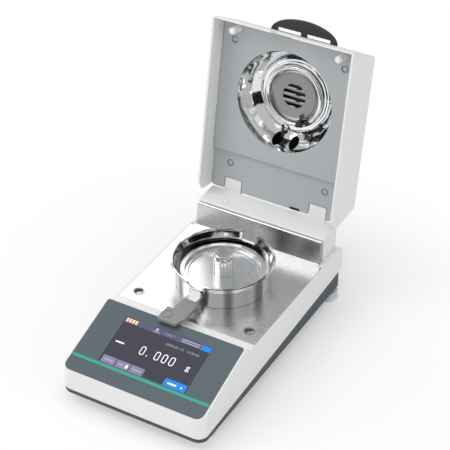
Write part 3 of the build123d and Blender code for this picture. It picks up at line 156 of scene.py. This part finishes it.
class Finish:
    """A material: one shader, its fixed values on its own sockets, and the nodes that feed it."""

    def __init__(self, name, colour, **fixed):
        self.material = bpy.data.materials.new(name)
        self.material.use_nodes = True
        self.tree = self.material.node_tree
        self.shader = self.tree.nodes["Principled BSDF"]
        self.colour = colour
        self.shader.inputs["Base Color"].default_value = colour
        for label, value in fixed.items():
            self.shader.inputs[label.replace("_", " ")].default_value = value
        self.place = self.node("ShaderNodeTexCoord")["Object"]

    def node(self, kind, settings=None, inputs=None):
        """Adds a node: its settings first, then the values or links of its sockets."""
        made = self.tree.nodes.new(kind)
        for label, value in (settings or {}).items():
            setattr(made, label, value)
        for label, value in (inputs or {}).items():
            self.feed(made.inputs[label], value)
        return Outlets(self, made)

    def feed(self, socket, value):
        """Sets a socket, or links it to what comes out of another node."""
        if isinstance(value, Signal):
            self.tree.links.new(value.socket, socket)
        else:
            socket.default_value = value

    def maths(self, operation, first, second):
        """Result of one Math node."""
        return self.node("ShaderNodeMath", {"operation": operation}, {0: first, 1: second})["Value"]

    def stretched(self, across, along, upright):
        """Object coordinates, scaled on each axis."""
        return self.node("ShaderNodeMapping", {"vector_type": "POINT"},
                         {"Vector": self.place, "Scale": (across, along, upright)})["Vector"]

    def noise(self, scale, detail=2.0, vector=None, rough=0.5):
        """Noise from 0 to 1, on the object's own coordinates unless told otherwise."""
        return self.node("ShaderNodeTexNoise", {}, {"Vector": vector or self.place, "Scale": scale,
                                                     "Detail": detail, "Roughness": rough})["Fac"]

    def axis(self, name):
        """One of the object's own coordinates, in metres."""
        return self.node("ShaderNodeSeparateXYZ", {}, {0: self.place})[name]

    def ease(self, value, low, high, start=0.0, end=1.0):
        """Smooth step of a value from start to end between two levels."""
        return self.node("ShaderNodeMapRange", {"interpolation_type": "SMOOTHSTEP"},
                         {"Value": value, "From Min": low, "From Max": high, "To Min": start,
                          "To Max": end})["Result"]

    def blend(self, share, first, second):
        """Colour between two colours."""
        return self.node("ShaderNodeMix", {"data_type": "RGBA"}, {0: share, 6: first, 7: second})[2]

    def rounded(self, radius):
        """Normals that round a sharp edge by a radius in metres."""
        return self.node("ShaderNodeBevel", {"samples": 4}, {"Radius": radius})["Normal"]

    def relief(self, height, depth, normal=None):
        """Feeds the normal from a height, with a depth in metres."""
        inputs = {"Height": height, "Distance": depth, "Strength": 1.0}
        if normal:
            inputs["Normal"] = normal
        self.drive("Normal", self.node("ShaderNodeBump", {}, inputs)["Normal"])

    def drive(self, label, value):
        """Feeds one of the shader's own sockets."""
        self.feed(self.shader.inputs[label], value)

    def tones(self, share, spread):
        """Base colour that drifts a little lighter and darker round its own."""
        pair = shade(self.colour, 1 - spread), shade(self.colour, 1 + spread)
        self.drive("Base Color", self.blend(share, *pair))


class Outlets:
    """What comes out of a node, by name or number."""

    def __init__(self, finish, made):
        self.finish = finish
        self.made = made

    def __getitem__(self, label):
        return Signal(self.finish, self.made.outputs[label])


# Finishes: noise scales are per metre, reliefs and rounded edges in metres

MOULDED_DRIFT = 0.025       # share by which moulded plastic varies in tone
WIDE_DRIFT = 9.0
PEEL = 650.0                # orange peel of paint
FILM = 60.0                 # finger film on metal


def moulded_skin(finish, roughness, grain, relief, edge):
    """Fine spark texture, soft edges and a drift of gloss. Gives the share by which the tone drifts."""
    drift = finish.noise(WIDE_DRIFT)
    fine = finish.noise(grain, 3.0, rough=0.6)
    finish.drive("Roughness", roughness + (drift - 0.5) * 0.12 + (fine - 0.5) * 0.08)
    finish.relief(fine, relief, normal=finish.rounded(edge))
    return drift * 0.7 + fine * 0.3


def moulded(name, colour, roughness, grain, relief, edge, **fixed):
    """Moulded plastic, with a slight drift of tone and gloss."""
    finish = Finish(name, colour, **fixed)
    finish.tones(moulded_skin(finish, roughness, grain, relief, edge), MOULDED_DRIFT)
    return finish.material


def painted_lid_shade(finish):
    """Share from 0 to 1 of the painted shade, a near-black patch on the inside of the lid's back wall."""
    back = finish.axis("Y") - HINGE_LINE.y
    up = finish.axis("Z") - HINGE_LINE.z
    depth = back * math.cos(LID_LEAN) - up * math.sin(LID_LEAN) + HINGE_DEPTH * MM
    height = back * math.sin(LID_LEAN) + up * math.cos(LID_LEAN) - HINGE_BELOW * MM
    inside = finish.ease(depth, PATCH_FRONT, PATCH_FRONT + PATCH_BLUR)
    inside *= 1.0 - finish.ease(depth, PATCH_BACK, PATCH_BACK + PATCH_BLUR / 4)
    level = finish.ease(height, PATCH_LOW, PATCH_LOW + PATCH_BLUR)
    level *= 1.0 - finish.ease(height, PATCH_HIGH, PATCH_HIGH + PATCH_BLUR)
    middle = 1.0 - finish.ease(finish.axis("X").size(), PATCH_HALF, PATCH_HALF + PATCH_BLUR)
    return inside * level * middle


def shell_with_painted_shade(name, colour, roughness, grain, relief, edge, dark):
    """Moulded lid with near-black painted shade inside its back wall, behind the lamp."""
    finish = Finish(name, colour)
    share = moulded_skin(finish, roughness, grain, relief, edge)
    tone = finish.blend(share, shade(colour, 1 - MOULDED_DRIFT), shade(colour, 1 + MOULDED_DRIFT))
    # Painted shade: the near-black colour is blended over the lid's tone inside its back wall.
    finish.drive("Base Color", finish.blend(painted_lid_shade(finish), tone, dark))
    return finish.material


def painted(name, colour, roughness):
    """Stove enamel on sheet: orange peel, fine speckle and a soft sheen."""
    finish = Finish(name, colour)
    peel = finish.noise(PEEL)
    speckle = finish.noise(4200.0)
    drift = finish.noise(14.0)
    finish.tones(drift * 0.6 + speckle * 0.4, 0.035)
    finish.drive("Roughness", roughness + (peel - 0.5) * 0.1)
    finish.relief(peel * 0.8 + speckle * 0.2, 0.00003, normal=finish.rounded(0.0003))
    return finish.material


def brushed(name, colour, roughness, strokes, lines, relief=0.000008):
    """Brushed sheet: long fine strokes in gloss, tone and relief. Strokes holds the axis scales."""
    finish = Finish(name, colour, Metallic=1.0)
    fine = finish.noise(lines, 3.0, finish.stretched(*strokes), 0.7)
    broad = finish.noise(lines * 0.22, 2.0, finish.stretched(*strokes))
    finish.tones(fine * 0.7 + broad * 0.3, 0.05)
    finish.drive("Roughness", roughness + (fine - 0.5) * 0.1 + (broad - 0.5) * 0.03)
    finish.relief(fine, relief, normal=finish.rounded(0.0003))
    return finish.material


def band_with_painted_reflections(name, bright, dark, roughness):
    """Polished band: mirror-like, with upright light and dark bands of painted reflection in its base
    colour.
    """
    finish = Finish(name, bright, Metallic=1.0)
    turn = finish.maths("ARCTAN2", finish.axis("Y") - AXIS_Y, finish.axis("X"))
    # Painted reflections: light and dark upright bands by the angle round the pan's axis, shifted a little
    # by finger film.
    reflection_bands = (turn * 9.0 + 0.6).wave() * 0.5 + (turn * 17.0 + 2.0).wave() * 0.3 + (turn * 4.0).wave() * 0.2
    film = finish.noise(FILM, 4.0)
    finish.drive("Base Color", finish.blend(finish.ease(reflection_bands + film * 0.2, -0.65, 0.35), dark, bright))
    finish.drive("Roughness", roughness + finish.ease(film, 0.45, 0.75) * 0.05)
    finish.relief(finish.noise(400.0), 0.000002, normal=finish.rounded(0.0004))
    return finish.material


def half_painted(name, colour, bright):
    """Carrier: bare bright sheet at the ring and plate, paint on the flat handle."""
    finish = Finish(name, colour)
    peel = finish.noise(PEEL)
    bare = finish.ease(finish.axis("Y") - AXIS_Y, PAINT_EDGE, PAINT_EDGE + PAINT_BLUR)
    paint = finish.blend(peel, shade(colour, 0.96), shade(colour, 1.04))
    finish.drive("Base Color", finish.blend(bare, paint, bright))
    finish.drive("Metallic", bare * 0.8 + 0.2)
    finish.drive("Roughness", 0.5 - bare * 0.34 + (peel - 0.5) * 0.08)
    finish.relief(peel, 0.00002, normal=finish.rounded(0.0004))
    return finish.material


def polished(name, colour, roughness, ripple):
    """Polished metal: near mirror, with faint waves, hairlines and finger film."""
    finish = Finish(name, colour, Metallic=1.0)
    waves = finish.noise(ripple, 1.0)
    film = finish.noise(FILM, 4.0)
    hair = finish.noise(900.0, 2.0, finish.stretched(1.0, 1.0, 6.0))
    finish.tones(film, 0.03)
    finish.drive("Roughness", roughness + finish.ease(film, 0.45, 0.75) * 0.05 + (hair - 0.5) * 0.03)
    finish.relief(waves, 0.00001, normal=finish.rounded(0.0004))
    return finish.material


def turned_finish(name, colour, roughness, centre, lines=9000.0):
    """Lathe-turned or spun metal: rings of fine tool marks round an upright axis."""
    finish = Finish(name, colour, Metallic=1.0)
    middle = finish.node("ShaderNodeMapping", {"vector_type": "POINT"},
                         {"Vector": finish.place, "Location": (-centre[0], -centre[1], 0.0)})["Vector"]
    parts = finish.node("ShaderNodeSeparateXYZ", {}, {0: middle})
    radius = (parts["X"] * parts["X"] + parts["Y"] * parts["Y"]) ** 0.5
    drift = finish.noise(120.0)
    rings = (radius * lines + drift * 6.0).wave() * 0.5 + 0.5
    finish.tones(rings * 0.5 + drift * 0.5, 0.05)
    finish.drive("Roughness", roughness + (rings - 0.5) * 0.05 + (drift - 0.5) * 0.06)
    finish.relief(rings, 0.000002, normal=finish.rounded(0.0003))
    return finish.material


def pressed_bowl(name, colour, roughness):
    """Bright pressed sheet with shallow dents, so that reflections break up as on a stamped bowl."""
    finish = Finish(name, colour, Metallic=1.0)
    dents = finish.noise(38.0, 1.5)
    cells = finish.node("ShaderNodeTexVoronoi", {"feature": "SMOOTH_F1"},
                        {"Vector": finish.place, "Scale": 55.0, "Smoothness": 0.6})["Distance"]
    film = finish.noise(90.0, 3.0)
    finish.tones(film, 0.05)
    finish.drive("Roughness", roughness + finish.ease(film, 0.5, 0.8) * 0.08)
    finish.relief(dents * 0.6 + cells * 0.4, 0.0014)
    return finish.material


def lit_glass(name, colour, glow):
    """Screen surface: dark, glossy, and lit from behind with a faint dot grid."""
    finish = Finish(name, colour, Roughness=0.16, Coat_Weight=0.15, Coat_Roughness=0.1,
                    Emission_Strength=glow)
    dots = (finish.axis("X") * 9000.0).wave() * 0.5 + 0.5
    cloud = finish.noise(25.0)
    lit = finish.blend(dots * 0.3 + cloud * 0.7, shade(colour, 0.92), shade(colour, 1.08))
    finish.drive("Base Color", lit)
    finish.drive("Emission Color", lit)
    return finish.material


def quartz(name, colour):
    """Lamp's tube: bright coated quartz, slightly cloudy, with a faint ripple."""
    finish = Finish(name, colour, Roughness=0.09, Metallic=0.85, Coat_Weight=0.5, Coat_Roughness=0.04)
    cloud = finish.noise(45.0)
    finish.tones(cloud, 0.06)
    finish.relief(finish.noise(500.0), 0.00001)
    return finish.material


def board_finish():
    """Green laminate with pale tracks."""
    green = srgb(38, 96, 58)
    finish = Finish("laminate", green, Roughness=0.35)
    tracks = finish.node("ShaderNodeTexVoronoi", {"distance": "MANHATTAN"},
                         {"Vector": finish.place, "Scale": 260.0})["Distance"]
    finish.drive("Base Color", finish.blend(finish.ease(tracks, 0.25, 0.35), green, srgb(66, 128, 74)))
    finish.relief(tracks, 0.00006)
    return finish.material


FINISHES = {
    "housing": moulded("housing_white", srgb(228, 228, 228), 0.42, 2600.0, 0.00002, 0.0007),
    # The lid's back wall gets near-black painted shade on its inside.
    "lid": shell_with_painted_shade("lid_white", srgb(228, 228, 228), 0.42, 2600.0, 0.00002, 0.0007, srgb(22, 22, 22)),
    "block": moulded("block_white", srgb(226, 226, 226), 0.4, 2600.0, 0.00002, 0.0005),
    "tray": moulded("tray_slate", srgb(62, 72, 79), 0.5, 2200.0, 0.00004, 0.0004),
    "foil": moulded("foil_slate", srgb(74, 87, 94), 0.36, 5200.0, 0.00001, 0.0002),
    "screen": lit_glass("screen_dark", srgb(54, 55, 67), 0.12),
    "deck": brushed("deck_brushed", grey(0.68), 0.27, (1.0, 30.0, 30.0), 260.0, 0.0000015),
    "liner": painted("liner_grey", srgb(170, 174, 176), 0.46),
    "bowl": pressed_bowl("bowl_bright", (0.86, 0.87, 0.88, 1.0), 0.07),
    "disc": brushed("disc_satin", (0.36, 0.37, 0.37, 1.0), 0.34, (1.0, 8.0, 8.0), 120.0),
    "quartz": quartz("lamp_quartz", grey(0.86)),
    "ceramic": moulded("holder_dark", srgb(38, 38, 38), 0.6, 3000.0, 0.00005, 0.0003),
    "handle": moulded("handle_black", srgb(43, 43, 43), 0.48, 2600.0, 0.00004, 0.0005),
    "soft": moulded("peg_soft", srgb(238, 240, 241), 0.3, 1500.0, 0.00002, 0.0006,
                    Coat_Weight=0.3, Coat_Roughness=0.2),
    "foot": moulded("foot_pale", srgb(205, 207, 209), 0.35, 1500.0, 0.00003, 0.0005,
                    Coat_Weight=0.2, Coat_Roughness=0.2),
    "screw": polished("screw_bright", grey(0.5), 0.24, 200.0),
    "dark_metal": brushed("dark_plated", (0.06, 0.06, 0.065, 1.0), 0.38, (4.0, 4.0, 1.0), 300.0),
    "plated": brushed("plated_sheet", (0.5, 0.5, 0.51, 1.0), 0.35, (1.0, 6.0, 6.0), 150.0),
    # The draft shield's light and dark upright bands are painted reflections.
    "shield": band_with_painted_reflections("shield_bright", grey(0.9), grey(0.3), 0.08),
    "pan": turned_finish("pan_spun", (0.74, 0.745, 0.75, 1.0), 0.24, (0.0, AXIS_Y), 5200.0),
    "weight": turned_finish("weight_turned", (0.82, 0.82, 0.83, 1.0), 0.07, (0.0, AXIS_Y), 12000.0),
    "handler": half_painted("handler_grey", srgb(134, 134, 134), grey(0.7)),
    "socket": moulded("socket_black", srgb(34, 34, 35), 0.45, 2600.0, 0.00004, 0.0004),
    "rocker": moulded("rocker_black", srgb(26, 26, 27), 0.25, 4000.0, 0.00001, 0.0004),
    "board": board_finish(),
    "aluminium": brushed("aluminium_milled", (0.72, 0.73, 0.74, 1.0), 0.34, (8.0, 1.0, 8.0), 200.0),
    "brass": turned_finish("brass_turned", (0.66, 0.47, 0.2, 1.0), 0.25, (0.0, 0.0)),
    "bronze": turned_finish("bronze_sintered", (0.42, 0.28, 0.14, 1.0), 0.4, (0.0, 0.0)),
    "glyph": lit_glass("glyph_white", srgb(225, 226, 232), 0.45),
    "glyph_dim": lit_glass("glyph_grey", srgb(150, 150, 165), 0.3),
    "bar_violet": lit_glass("bar_violet", srgb(82, 78, 112), 0.25),
    "key_violet": lit_glass("key_violet", srgb(122, 114, 146), 0.3),
    "key_blue": lit_glass("key_blue", srgb(14, 120, 208), 0.35),
    "cell_amber": lit_glass("cell_amber", srgb(232, 196, 140), 0.4),
    "stripe": moulded("stripe_teal", srgb(40, 158, 136), 0.35, 4000.0, 0.00001, 0.0001),
}


NODE_FINISHES = {
    "upper_housing": "housing",
    "hinge_block": "block",
    "lid_shell": "lid",
    "bottom_tray": "tray",
    "display_overlay": "foil",
    "lcd_screen": "screen",
    "lcd_frame": "plated",
    "deck_plate": "deck",
    "deck_cups": "screw",
    "deck_screws": "screw",
    "hinge_bushes": "bronze",
    "hinge_brackets": "plated",
    "hinge_pins": "screw",
    "plunger_guide": "block",
    "lid_plunger": "soft",
    "load_cell": "aluminium",
    "load_cell_mounts": "aluminium",
    "weighing_spindle": "screw",
    "pan_support": "plated",
    "draft_shield": "shield",
    "pan_handler": "handler",
    "sample_pan": "pan",
    "calibration_weight": "weight",
    "mains_inlet": "socket",
    "switch_body": "socket",
    "switch_rocker": "rocker",
    "serial_port": "plated",
    "main_board": "board",
    "power_supply": "board",
    "tray_screws": "screw",
    "foot_inserts": "brass",
    "lid_liner": "liner",
    "lid_liner_lower": "liner",
    "cable_clip": "dark_metal",
    "liner_screws": "liner",
    "reflector_bowl": "bowl",
    "reflector_disc": "disc",
    "ring_lamp": "quartz",
    "lamp_caps": "ceramic",
    "lamp_posts": "dark_metal",
    "temperature_probe": "dark_metal",
    "bumper_pegs": "soft",
    "lid_handle": "handle",
    "handle_screws": "screw",
}
for corner in ("front_left", "front_right", "rear_left", "rear_right"):
    NODE_FINISHES["foot_pad_" + corner] = "foot"
    NODE_FINISHES["foot_wheel_" + corner] = "foot"

for node_name, piece in nodes.items():
    for slot in piece.material_slots:
        slot.material = FINISHES[NODE_FINISHES[node_name]]


# Ways of working on a new piece

def clear_selection():
    """Leaves nothing selected, so that an operator acts on the new piece alone."""
    if bpy.context.object and bpy.context.object.mode == "EDIT":
        bpy.ops.object.mode_set(mode="OBJECT")
    bpy.ops.object.select_all(action="DESELECT")


def settle(piece, name, placing, finish, body):
    """Moves a finished piece to its place in its mesh, and gives it its name, finish and body."""
    clear_selection()
    piece.select_set(True)
    bpy.context.view_layer.objects.active = piece
    piece.matrix_world = placing @ piece.matrix_world
    bpy.ops.object.transform_apply(location=True, rotation=True, scale=True)
    piece.name = name
    piece.data.name = name
    piece.data.materials.clear()
    piece.data.materials.append(FINISHES[finish])
    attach(piece, body)


def on_panel(x, down, lift):
    """Placing on the sloping panel: side, distance down from its top edge and height over its face."""
    turn = Matrix.Translation(PANEL_FOOT) @ Matrix.Rotation(PANEL_TILT, 4, "X")
    return turn @ Matrix.Translation(Vector((x, PANEL_SLANT - down, lift)) * MM)


def raise_face(thick, edge):
    """Gives the flat face being edited its thickness, and breaks its upper edges."""
    bpy.ops.mesh.extrude_region_move(TRANSFORM_OT_translate={"value": (0.0, 0.0, thick * MM)})
    bpy.ops.mesh.bevel(offset=edge * MM, segments=2, affect="EDGES")
    bpy.ops.mesh.select_all(action="SELECT")
    bpy.ops.mesh.normals_make_consistent(inside=False)
    bpy.ops.object.mode_set(mode="OBJECT")


def rounded_face(width, height, radius, segments):
    """New flat face with rounded corners, left selected in edit mode."""
    clear_selection()
    bpy.ops.mesh.primitive_plane_add(size=1.0)
    piece = bpy.context.object
    piece.scale = (width * MM, height * MM, 1.0)
    bpy.ops.object.transform_apply(scale=True)
    bpy.ops.object.mode_set(mode="EDIT")
    bpy.ops.mesh.select_all(action="SELECT")
    bpy.ops.mesh.bevel(offset=radius * MM, segments=segments, affect="VERTICES")
    bpy.ops.mesh.select_all(action="SELECT")
    return piece


def label_plate(name, left, right, top, low, finish, radius, lift=SCREEN_FACE, thick=PRINT_THICK):
    """Thin plate with rounded corners on the panel, between two sides and two distances down."""
    piece = rounded_face(right - left, low - top, radius, 4)
    raise_face(thick, thick / 4)
    settle(piece, name, on_panel((left + right) / 2, (top + low) / 2, lift + PRINT_LIFT), finish, "base")


def figure_zero(name, left, right, top, low, stroke, finish):
    """Upright zero of the large reading: a tall round outline with an even stroke."""
    piece = rounded_face(right - left, low - top, (right - left) * FIGURE_ROUND, 8)
    bpy.ops.mesh.inset(thickness=stroke * MM)
    bpy.ops.mesh.delete(type="FACE")
    bpy.ops.mesh.select_all(action="SELECT")
    raise_face(PRINT_THICK, FIGURE_EDGE)
    settle(piece, name, on_panel((left + right) / 2, (top + low) / 2, SCREEN_FACE + PRINT_LIFT), finish,
           "base")


def round_mark(name, x, down, radius, corners, finish, stretch=1.0, turn=0.0):
    """Small filled mark: a dot, a drop or an arrow head, by its number of corners."""
    clear_selection()
    bpy.ops.mesh.primitive_circle_add(vertices=corners, radius=radius * MM, fill_type="NGON",
                                      rotation=(0.0, 0.0, turn))
    piece = bpy.context.object
    piece.scale = (1.0, stretch, 1.0)
    bpy.ops.object.transform_apply(rotation=True, scale=True)
    bpy.ops.object.mode_set(mode="EDIT")
    bpy.ops.mesh.select_all(action="SELECT")
    raise_face(MARK_THICK, MARK_EDGE)
    settle(piece, name, on_panel(x, down, SCREEN_FACE + MARK_LIFT), finish, "base")


def lettering(name, text, left, right, top, low, finish, lift=SCREEN_FACE):
    """Plain figures, fitted between two sides and two distances down the panel."""
    clear_selection()
    bpy.ops.object.text_add()
    words = bpy.context.object
    words.data.body = text
    words.data.extrude = LETTER_HALF
    bpy.ops.object.convert(target="MESH")
    piece = bpy.context.object
    xs = [point.co.x for point in piece.data.vertices]
    ys = [point.co.y for point in piece.data.vertices]
    wide, tall = max(xs) - min(xs), max(ys) - min(ys)
    centre = Matrix.Translation((-(max(xs) + min(xs)) / 2, -(max(ys) + min(ys)) / 2, LETTER_HALF))
    thin = PRINT_THICK * MM / (2 * LETTER_HALF)
    fit = Matrix.Diagonal(((right - left) * MM / wide, (low - top) * MM / tall, thin, 1.0))
    piece.data.transform(fit @ centre)
    settle(piece, name, on_panel((left + right) / 2, (top + low) / 2, lift + LETTER_LIFT), finish, "base")


def screen_picture():
    """Everything that the lit screen shows: bar, cells, figures and keys."""
    label_plate("screen_status_bar", -55.2, 55.2, 14.1, 21.1, "bar_violet", 0.1, thick=0.03)
    first_cell = -53.9
    cell_pitch = 3.9
    cell_width = 2.8
    for index in range(4):
        left = first_cell + cell_pitch * index
        label_plate(f"screen_cell_{index + 1}", left, left + cell_width, 15.0, 20.0, "cell_amber", 0.4,
                    thick=MARK_THICK)
    label_plate("screen_tag", 43.5, 55.0, 14.6, 20.8, "key_blue", 0.5, thick=MARK_THICK)
    lettering("screen_count", "0", -15.6, -12.8, 14.9, 18.0, "glyph", SCREEN_FACE + MARK_LIFT)
    label_plate("screen_count_line", -18.0, -9.5, 19.2, 20.2, "glyph_dim", 0.3, thick=MARK_THICK)
    lettering("screen_warmth", "105", -2.2, 5.2, 16.2, 18.8, "glyph_dim", SCREEN_FACE + MARK_LIFT)
    round_mark("screen_degree", 8.6, 16.4, 0.6, 12, "glyph_dim")
    for row, down in enumerate((15.6, 18.4)):
        label_plate(f"screen_mode_{row + 1}", 18.0, 41.0, down, down + 1.4, "glyph_dim", 0.5,
                    thick=MARK_THICK)
    lettering("screen_date", "2024-01-15", 4.4, 26.7, 27.4, 30.3, "glyph_dim")
    lettering("screen_clock", "12:30:45", 31.1, 46.1, 27.6, 30.3, "glyph_dim")
    label_plate("screen_caption", -50.6, -39.4, 46.3, 48.0, "glyph", 0.7)
    for index, (left, right) in enumerate(((-18.3, -12.5), (0.4, 6.2), (9.8, 15.6), (19.2, 25.2))):
        figure_zero(f"screen_figure_{index + 1}", left, right, 41.2, 52.6, 1.0, "glyph")
    round_mark("screen_point", -8.3, 51.4, 0.8, 16, "glyph")
    lettering("screen_unit", "g", 40.4, 45.0, 45.6, 52.4, "glyph")
    for index, (left, right) in enumerate(((-53.2, -36.2), (-34.9, -18.0), (-17.0, 0.1))):
        label_plate(f"screen_key_{index + 1}", left, right, 67.3, 76.8, "key_violet", 0.8)
        label_plate(f"screen_key_line_{index + 1}", left + 2.4, right - (7.0 if index == 1 else 3.0),
                    71.2, 73.0, "glyph_dim", 0.6, thick=0.1)
    round_mark("screen_drop", -21.4, 72.6, 1.7, 20, "glyph", 1.25)
    round_mark("screen_drop_tip", -21.4, 70.3, 1.1, 3, "glyph", 1.3, math.radians(90.0))
    label_plate("screen_start_key", 26.4, 54.0, 67.4, 77.2, "key_blue", 0.8)
    label_plate("screen_start_line", 31.0, 42.0, 71.4, 73.4, "glyph", 0.7, thick=0.1)
    round_mark("screen_arrow", 48.4, 72.4, 1.7, 3, "glyph", 1.0)


screen_picture()
label_plate("panel_stripe", -87.7, 87.7, 78.4, 82.0, "stripe", 0.05, FOIL_FACE, 0.05)


# Floor, light and camera

CARD_AIM = Vector((0.0, 0.0, 0.1))


def stage_floor():
    """Pale floor that keeps the shadow near the object and fades to white for the camera."""
    clear_selection()
    bpy.ops.mesh.primitive_grid_add(x_subdivisions=8, y_subdivisions=8, size=FLOOR_SIDE)
    floor = bpy.context.object
    floor.name = "floor"
    finish = Finish("floor_pale", srgb(238, 238, 238), Roughness=0.7)
    parts = finish.node("ShaderNodeSeparateXYZ", {}, {0: finish.place})
    spread = (parts["X"] * parts["X"] + parts["Y"] * parts["Y"]) ** 0.5
    seen = finish.node("ShaderNodeLightPath")["Is Camera Ray"]
    white = finish.node("ShaderNodeEmission", {}, {"Color": WHITE, "Strength": 1.0})["Emission"]
    share = finish.ease(spread, FLOOR_NEAR, FLOOR_FAR, FLOOR_WHITE, 1.0) * seen
    mixed = finish.node("ShaderNodeMixShader", {}, {0: share, 2: white})
    finish.tree.links.new(finish.shader.outputs[0], mixed.made.inputs[1])
    finish.tree.links.new(mixed.made.outputs[0], finish.tree.nodes["Material Output"].inputs["Surface"])
    floor.data.materials.append(finish.material)


def soft_light(name, place, aim, width, height, power, mirrored=True):
    """Rectangular soft lamp at a place, aimed at a point."""
    lamp = bpy.data.lights.new(name, "AREA")
    lamp.shape = "RECTANGLE"
    lamp.size = width
    lamp.size_y = height
    lamp.energy = power
    holder = bpy.data.objects.new(name, lamp)
    bpy.context.scene.collection.objects.link(holder)
    holder.location = place
    holder.rotation_euler = (Vector(aim) - Vector(place)).to_track_quat("-Z", "Y").to_euler()
    holder.visible_glossy = mirrored


def card(name, place, width, height, level, glow=0.0):
    """Card that only reflections see: dark, or bright with a glow."""
    clear_selection()
    bpy.ops.mesh.primitive_grid_add(x_subdivisions=2, y_subdivisions=2, size=1.0)
    sheet = bpy.context.object
    sheet.name = name
    sheet.scale = (width, height, 1.0)
    sheet.location = place
    sheet.rotation_euler = (CARD_AIM - Vector(place)).to_track_quat("Z", "Y").to_euler()
    finish = Finish(name + "_finish", grey(level), Roughness=1.0, Specular_IOR_Level=0.0,
                    Emission_Color=WHITE, Emission_Strength=glow)
    sheet.data.materials.append(finish.material)
    sheet.visible_camera = False
    sheet.visible_diffuse = False
    sheet.visible_shadow = False
    sheet.visible_transmission = False


def studio():
    """World, lamps and cards."""
    world = bpy.data.worlds.new("studio")
    bpy.context.scene.world = world
    world.use_nodes = True
    tree = world.node_tree
    backdrop = tree.nodes["Background"]
    path = tree.nodes.new("ShaderNodeLightPath")
    white = tree.nodes.new("ShaderNodeBackground")
    white.inputs["Color"].default_value = WHITE
    backdrop.inputs["Color"].default_value = WHITE
    backdrop.inputs["Strength"].default_value = BACKDROP_STRENGTH
    mixed = tree.nodes.new("ShaderNodeMixShader")
    tree.links.new(path.outputs["Is Camera Ray"], mixed.inputs[0])
    tree.links.new(backdrop.outputs[0], mixed.inputs[1])
    tree.links.new(white.outputs[0], mixed.inputs[2])
    tree.links.new(mixed.outputs[0], tree.nodes["World Output"].inputs["Surface"])
    soft_light("key", (-1.3, -0.9, 1.7), (0.0, 0.0, 0.12), 1.2, 1.2, 17.0)
    soft_light("front", (0.2, -2.0, 1.0), (0.0, 0.0, 0.15), 1.4, 0.8, 9.0, mirrored=False)
    soft_light("right", (1.9, -0.2, 1.0), (0.0, 0.0, 0.15), 0.8, 1.4, 8.0, mirrored=False)
    soft_light("top", (0.0, 0.2, 2.2), (0.0, 0.0, 0.0), 1.4, 1.4, 10.0)
    card("rear_left_white", (-1.5, 1.5, 1.35), 2.4, 1.8, 0.5, 1.3)
    card("front_dark", (0.1, -1.7, 0.42), 3.0, 0.84, 0.012)
    card("right_dark", (1.7, -0.3, 0.5), 2.2, 1.0, 0.012)
    card("front_left_white", (-0.85, -1.4, 1.35), 1.3, 0.7, 0.5, 1.2)
    card("left_dark", (-1.7, -0.9, 0.4), 0.6, 0.8, 0.02)
    card("front_strip", (-0.28, -1.6, 0.5), 0.1, 0.9, 0.5, 1.2)


def camera():
    """Camera at the photograph's place."""
    lens = bpy.data.cameras.new("view")
    lens.lens = CAMERA_LENS
    lens.sensor_width = CAMERA_SENSOR
    holder = bpy.data.objects.new("view", lens)
    bpy.context.scene.collection.objects.link(holder)
    holder.location = CAMERA_PLACE
    aim = Vector(CAMERA_AIM) - holder.location
    holder.rotation_euler = aim.to_track_quat("-Z", "Y").to_euler()
    bpy.context.scene.camera = holder


stage_floor()
studio()
camera()
bpy.context.scene.view_settings.view_transform = "Standard"
